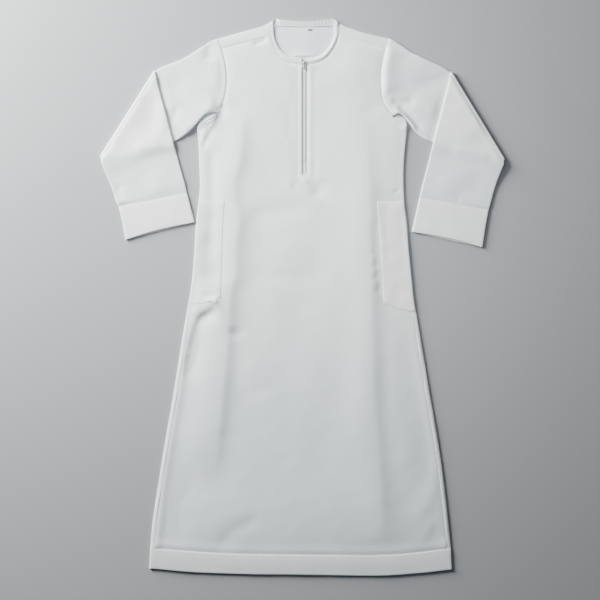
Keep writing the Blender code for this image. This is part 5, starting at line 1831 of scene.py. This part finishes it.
def stitched(name, lines, cloths, lift=0.12, from_above=True):
    """Stitches along flat lines, dropped onto the cloths from above or raised to them from below."""
    trees = []
    for cloth in cloths:
        points = [v.co for v in cloth.data.vertices]
        trees.append(BVHTree.FromPolygons(points, [p.vertices for p in cloth.data.polygons]))
    up, outermost = (1, max) if from_above else (-1, min)
    points, runs = [], []
    for line in lines:
        last = None
        for x, y in stretch(np.array(line, float), step=STITCH_PITCH):
            start = Vector((x * MM, y * MM, RAY_START * up))
            found = [tree.ray_cast(start, Vector((0, 0, -up)))[0] for tree in trees]
            hits = [place.z for place in found if place is not None]
            if not hits:
                last = None
                continue
            points.append((x, y, outermost(hits) / MM + lift * up))
            if last is not None:
                runs.append((last, len(points) - 1))
            last = len(points) - 1
    return grown(name, points, runs, STITCHING, thread, Pitch=STITCH_PITCH * MM, Long=STITCH_LONG * MM,
                 Wide=STITCH_WIDE * MM)


# %% Lines of stitches
rows = neck_rows()
band_line = rows[:, :2] + (rows[:, 2:] - rows[:, :2]) * 0.2
body_lines = [placket_line(), stretch(band_line, 1.8, lengths(band_line)[-1] - 1.8)]
for sign in (-1, 1):
    edge = ZIP_X + sign * (ZIP_WINDOW / 2 + 5.2)
    body_lines.append([(edge, 604), (edge, ZIP_END - 8)])
for side in BOTH:
    for outward in (-2.2, -7.0):
        line = side_seam(side, outward)
        body_lines.append(line[line[:, 1] < -80][:-1])
    body_lines.append(shift(armhole_line(side, SHOULDER_FORWARD), -2.6 * side.sign)[1:-2])
    body_lines.append(shift(armhole_line(side, SHOULDER_FORWARD), -8.0 * side.sign)[2:-3])
    body_lines.append(shift(shoulder_seam(side), 2.4 * side.sign)[1:-1])
    sewn, _ = pocket_lines(side)
    body_lines.append(shift(sewn, 3.4)[2:-2])
body_stitches = stitched("body_stitches", body_lines, [front, back, neckband, *pockets])
band_lines = [hem_line(1, -5.5)[3:-3]]
band_lines += [stretch(shift(cuff_seam(side), 4.6 * side.sign), step=3.0)[1:-1] for side in BOTH]
band_stitches = stitched("band_stitches", band_lines, [hem, *cuffs])
under_stitches = stitched("underside_stitches", band_lines, [hem, *cuffs], 0.02, False)

# %% [markdown]
# ## Riding, replacing and sheets
#
# Every piece is tied to the frame: it rides on a body, and where it stands for a solid, that solid is
# hidden. Each cloth piece is also listed as a sheet, with the size that it was cut to.

# %% Ties to the frame


def cloth_area(piece):
    """Half of a shell's surface in square metres: the area of its cloth."""
    return sum(face.area for face in piece.data.polygons) / 2


SHEETS = [
    (front, "front", "white_cloth", (0.79, 1.36), 0.77, "laid", ["back"]),
    (back, "back", "white_cloth", (0.81, 1.40), 0.86, "laid", []),
    (sleeves[0], "sleeve_left", "white_cloth", (0.40, 0.58), 0.19, "folded", []),
    (sleeves[1], "sleeve_right", "white_cloth", (0.40, 0.58), 0.19, "folded", []),
    (cuffs[0], "cuff_left", "doubled_cloth", (0.38, 0.086), 0.030, "laid", []),
    (cuffs[1], "cuff_right", "doubled_cloth", (0.42, 0.096), 0.034, "laid", []),
    (pockets[0], "pocket_left", "doubled_cloth", (0.082, 0.267), 0.0190, "laid", ["front"]),
    (pockets[1], "pocket_right", "doubled_cloth", (0.090, 0.286), 0.0205, "laid", ["front"]),
    (neckband, "neckband", "doubled_cloth", (0.52, 0.014), 0.0068, "laid", ["back"]),
    (hem, "hem", "doubled_cloth", (1.58, 0.056), 0.086, "laid", []),
    (tapes[0], "zip_tape_left", "zip_tape", (0.011, 0.309), 0.0033, "laid", []),
    (tapes[1], "zip_tape_right", "zip_tape", (0.011, 0.309), 0.0033, "laid", []),
]
for piece, node, slot_name, flat, area, held, under in SHEETS:
    print(node, "cloth area", round(cloth_area(piece), 4))
    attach(piece, "garment")
    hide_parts(node)
for piece, nodes, slot_name, body in (
        (coil, ("zip_coil",), "zip_coil", "garment"), (slider, ("zip_slider",), "zip_metal", "garment"),
        (pull, ("zip_pull",), "zip_metal", "pull_tab"), (tab, ("size_tab",), "grey_tab", "garment"),
        (body_stitches, (), "white_cloth", "garment"), (band_stitches, (), "doubled_cloth", "garment"),
        (under_stitches, (), "doubled_cloth", "garment")):
    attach(piece, body)
    if nodes:
        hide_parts(*nodes)
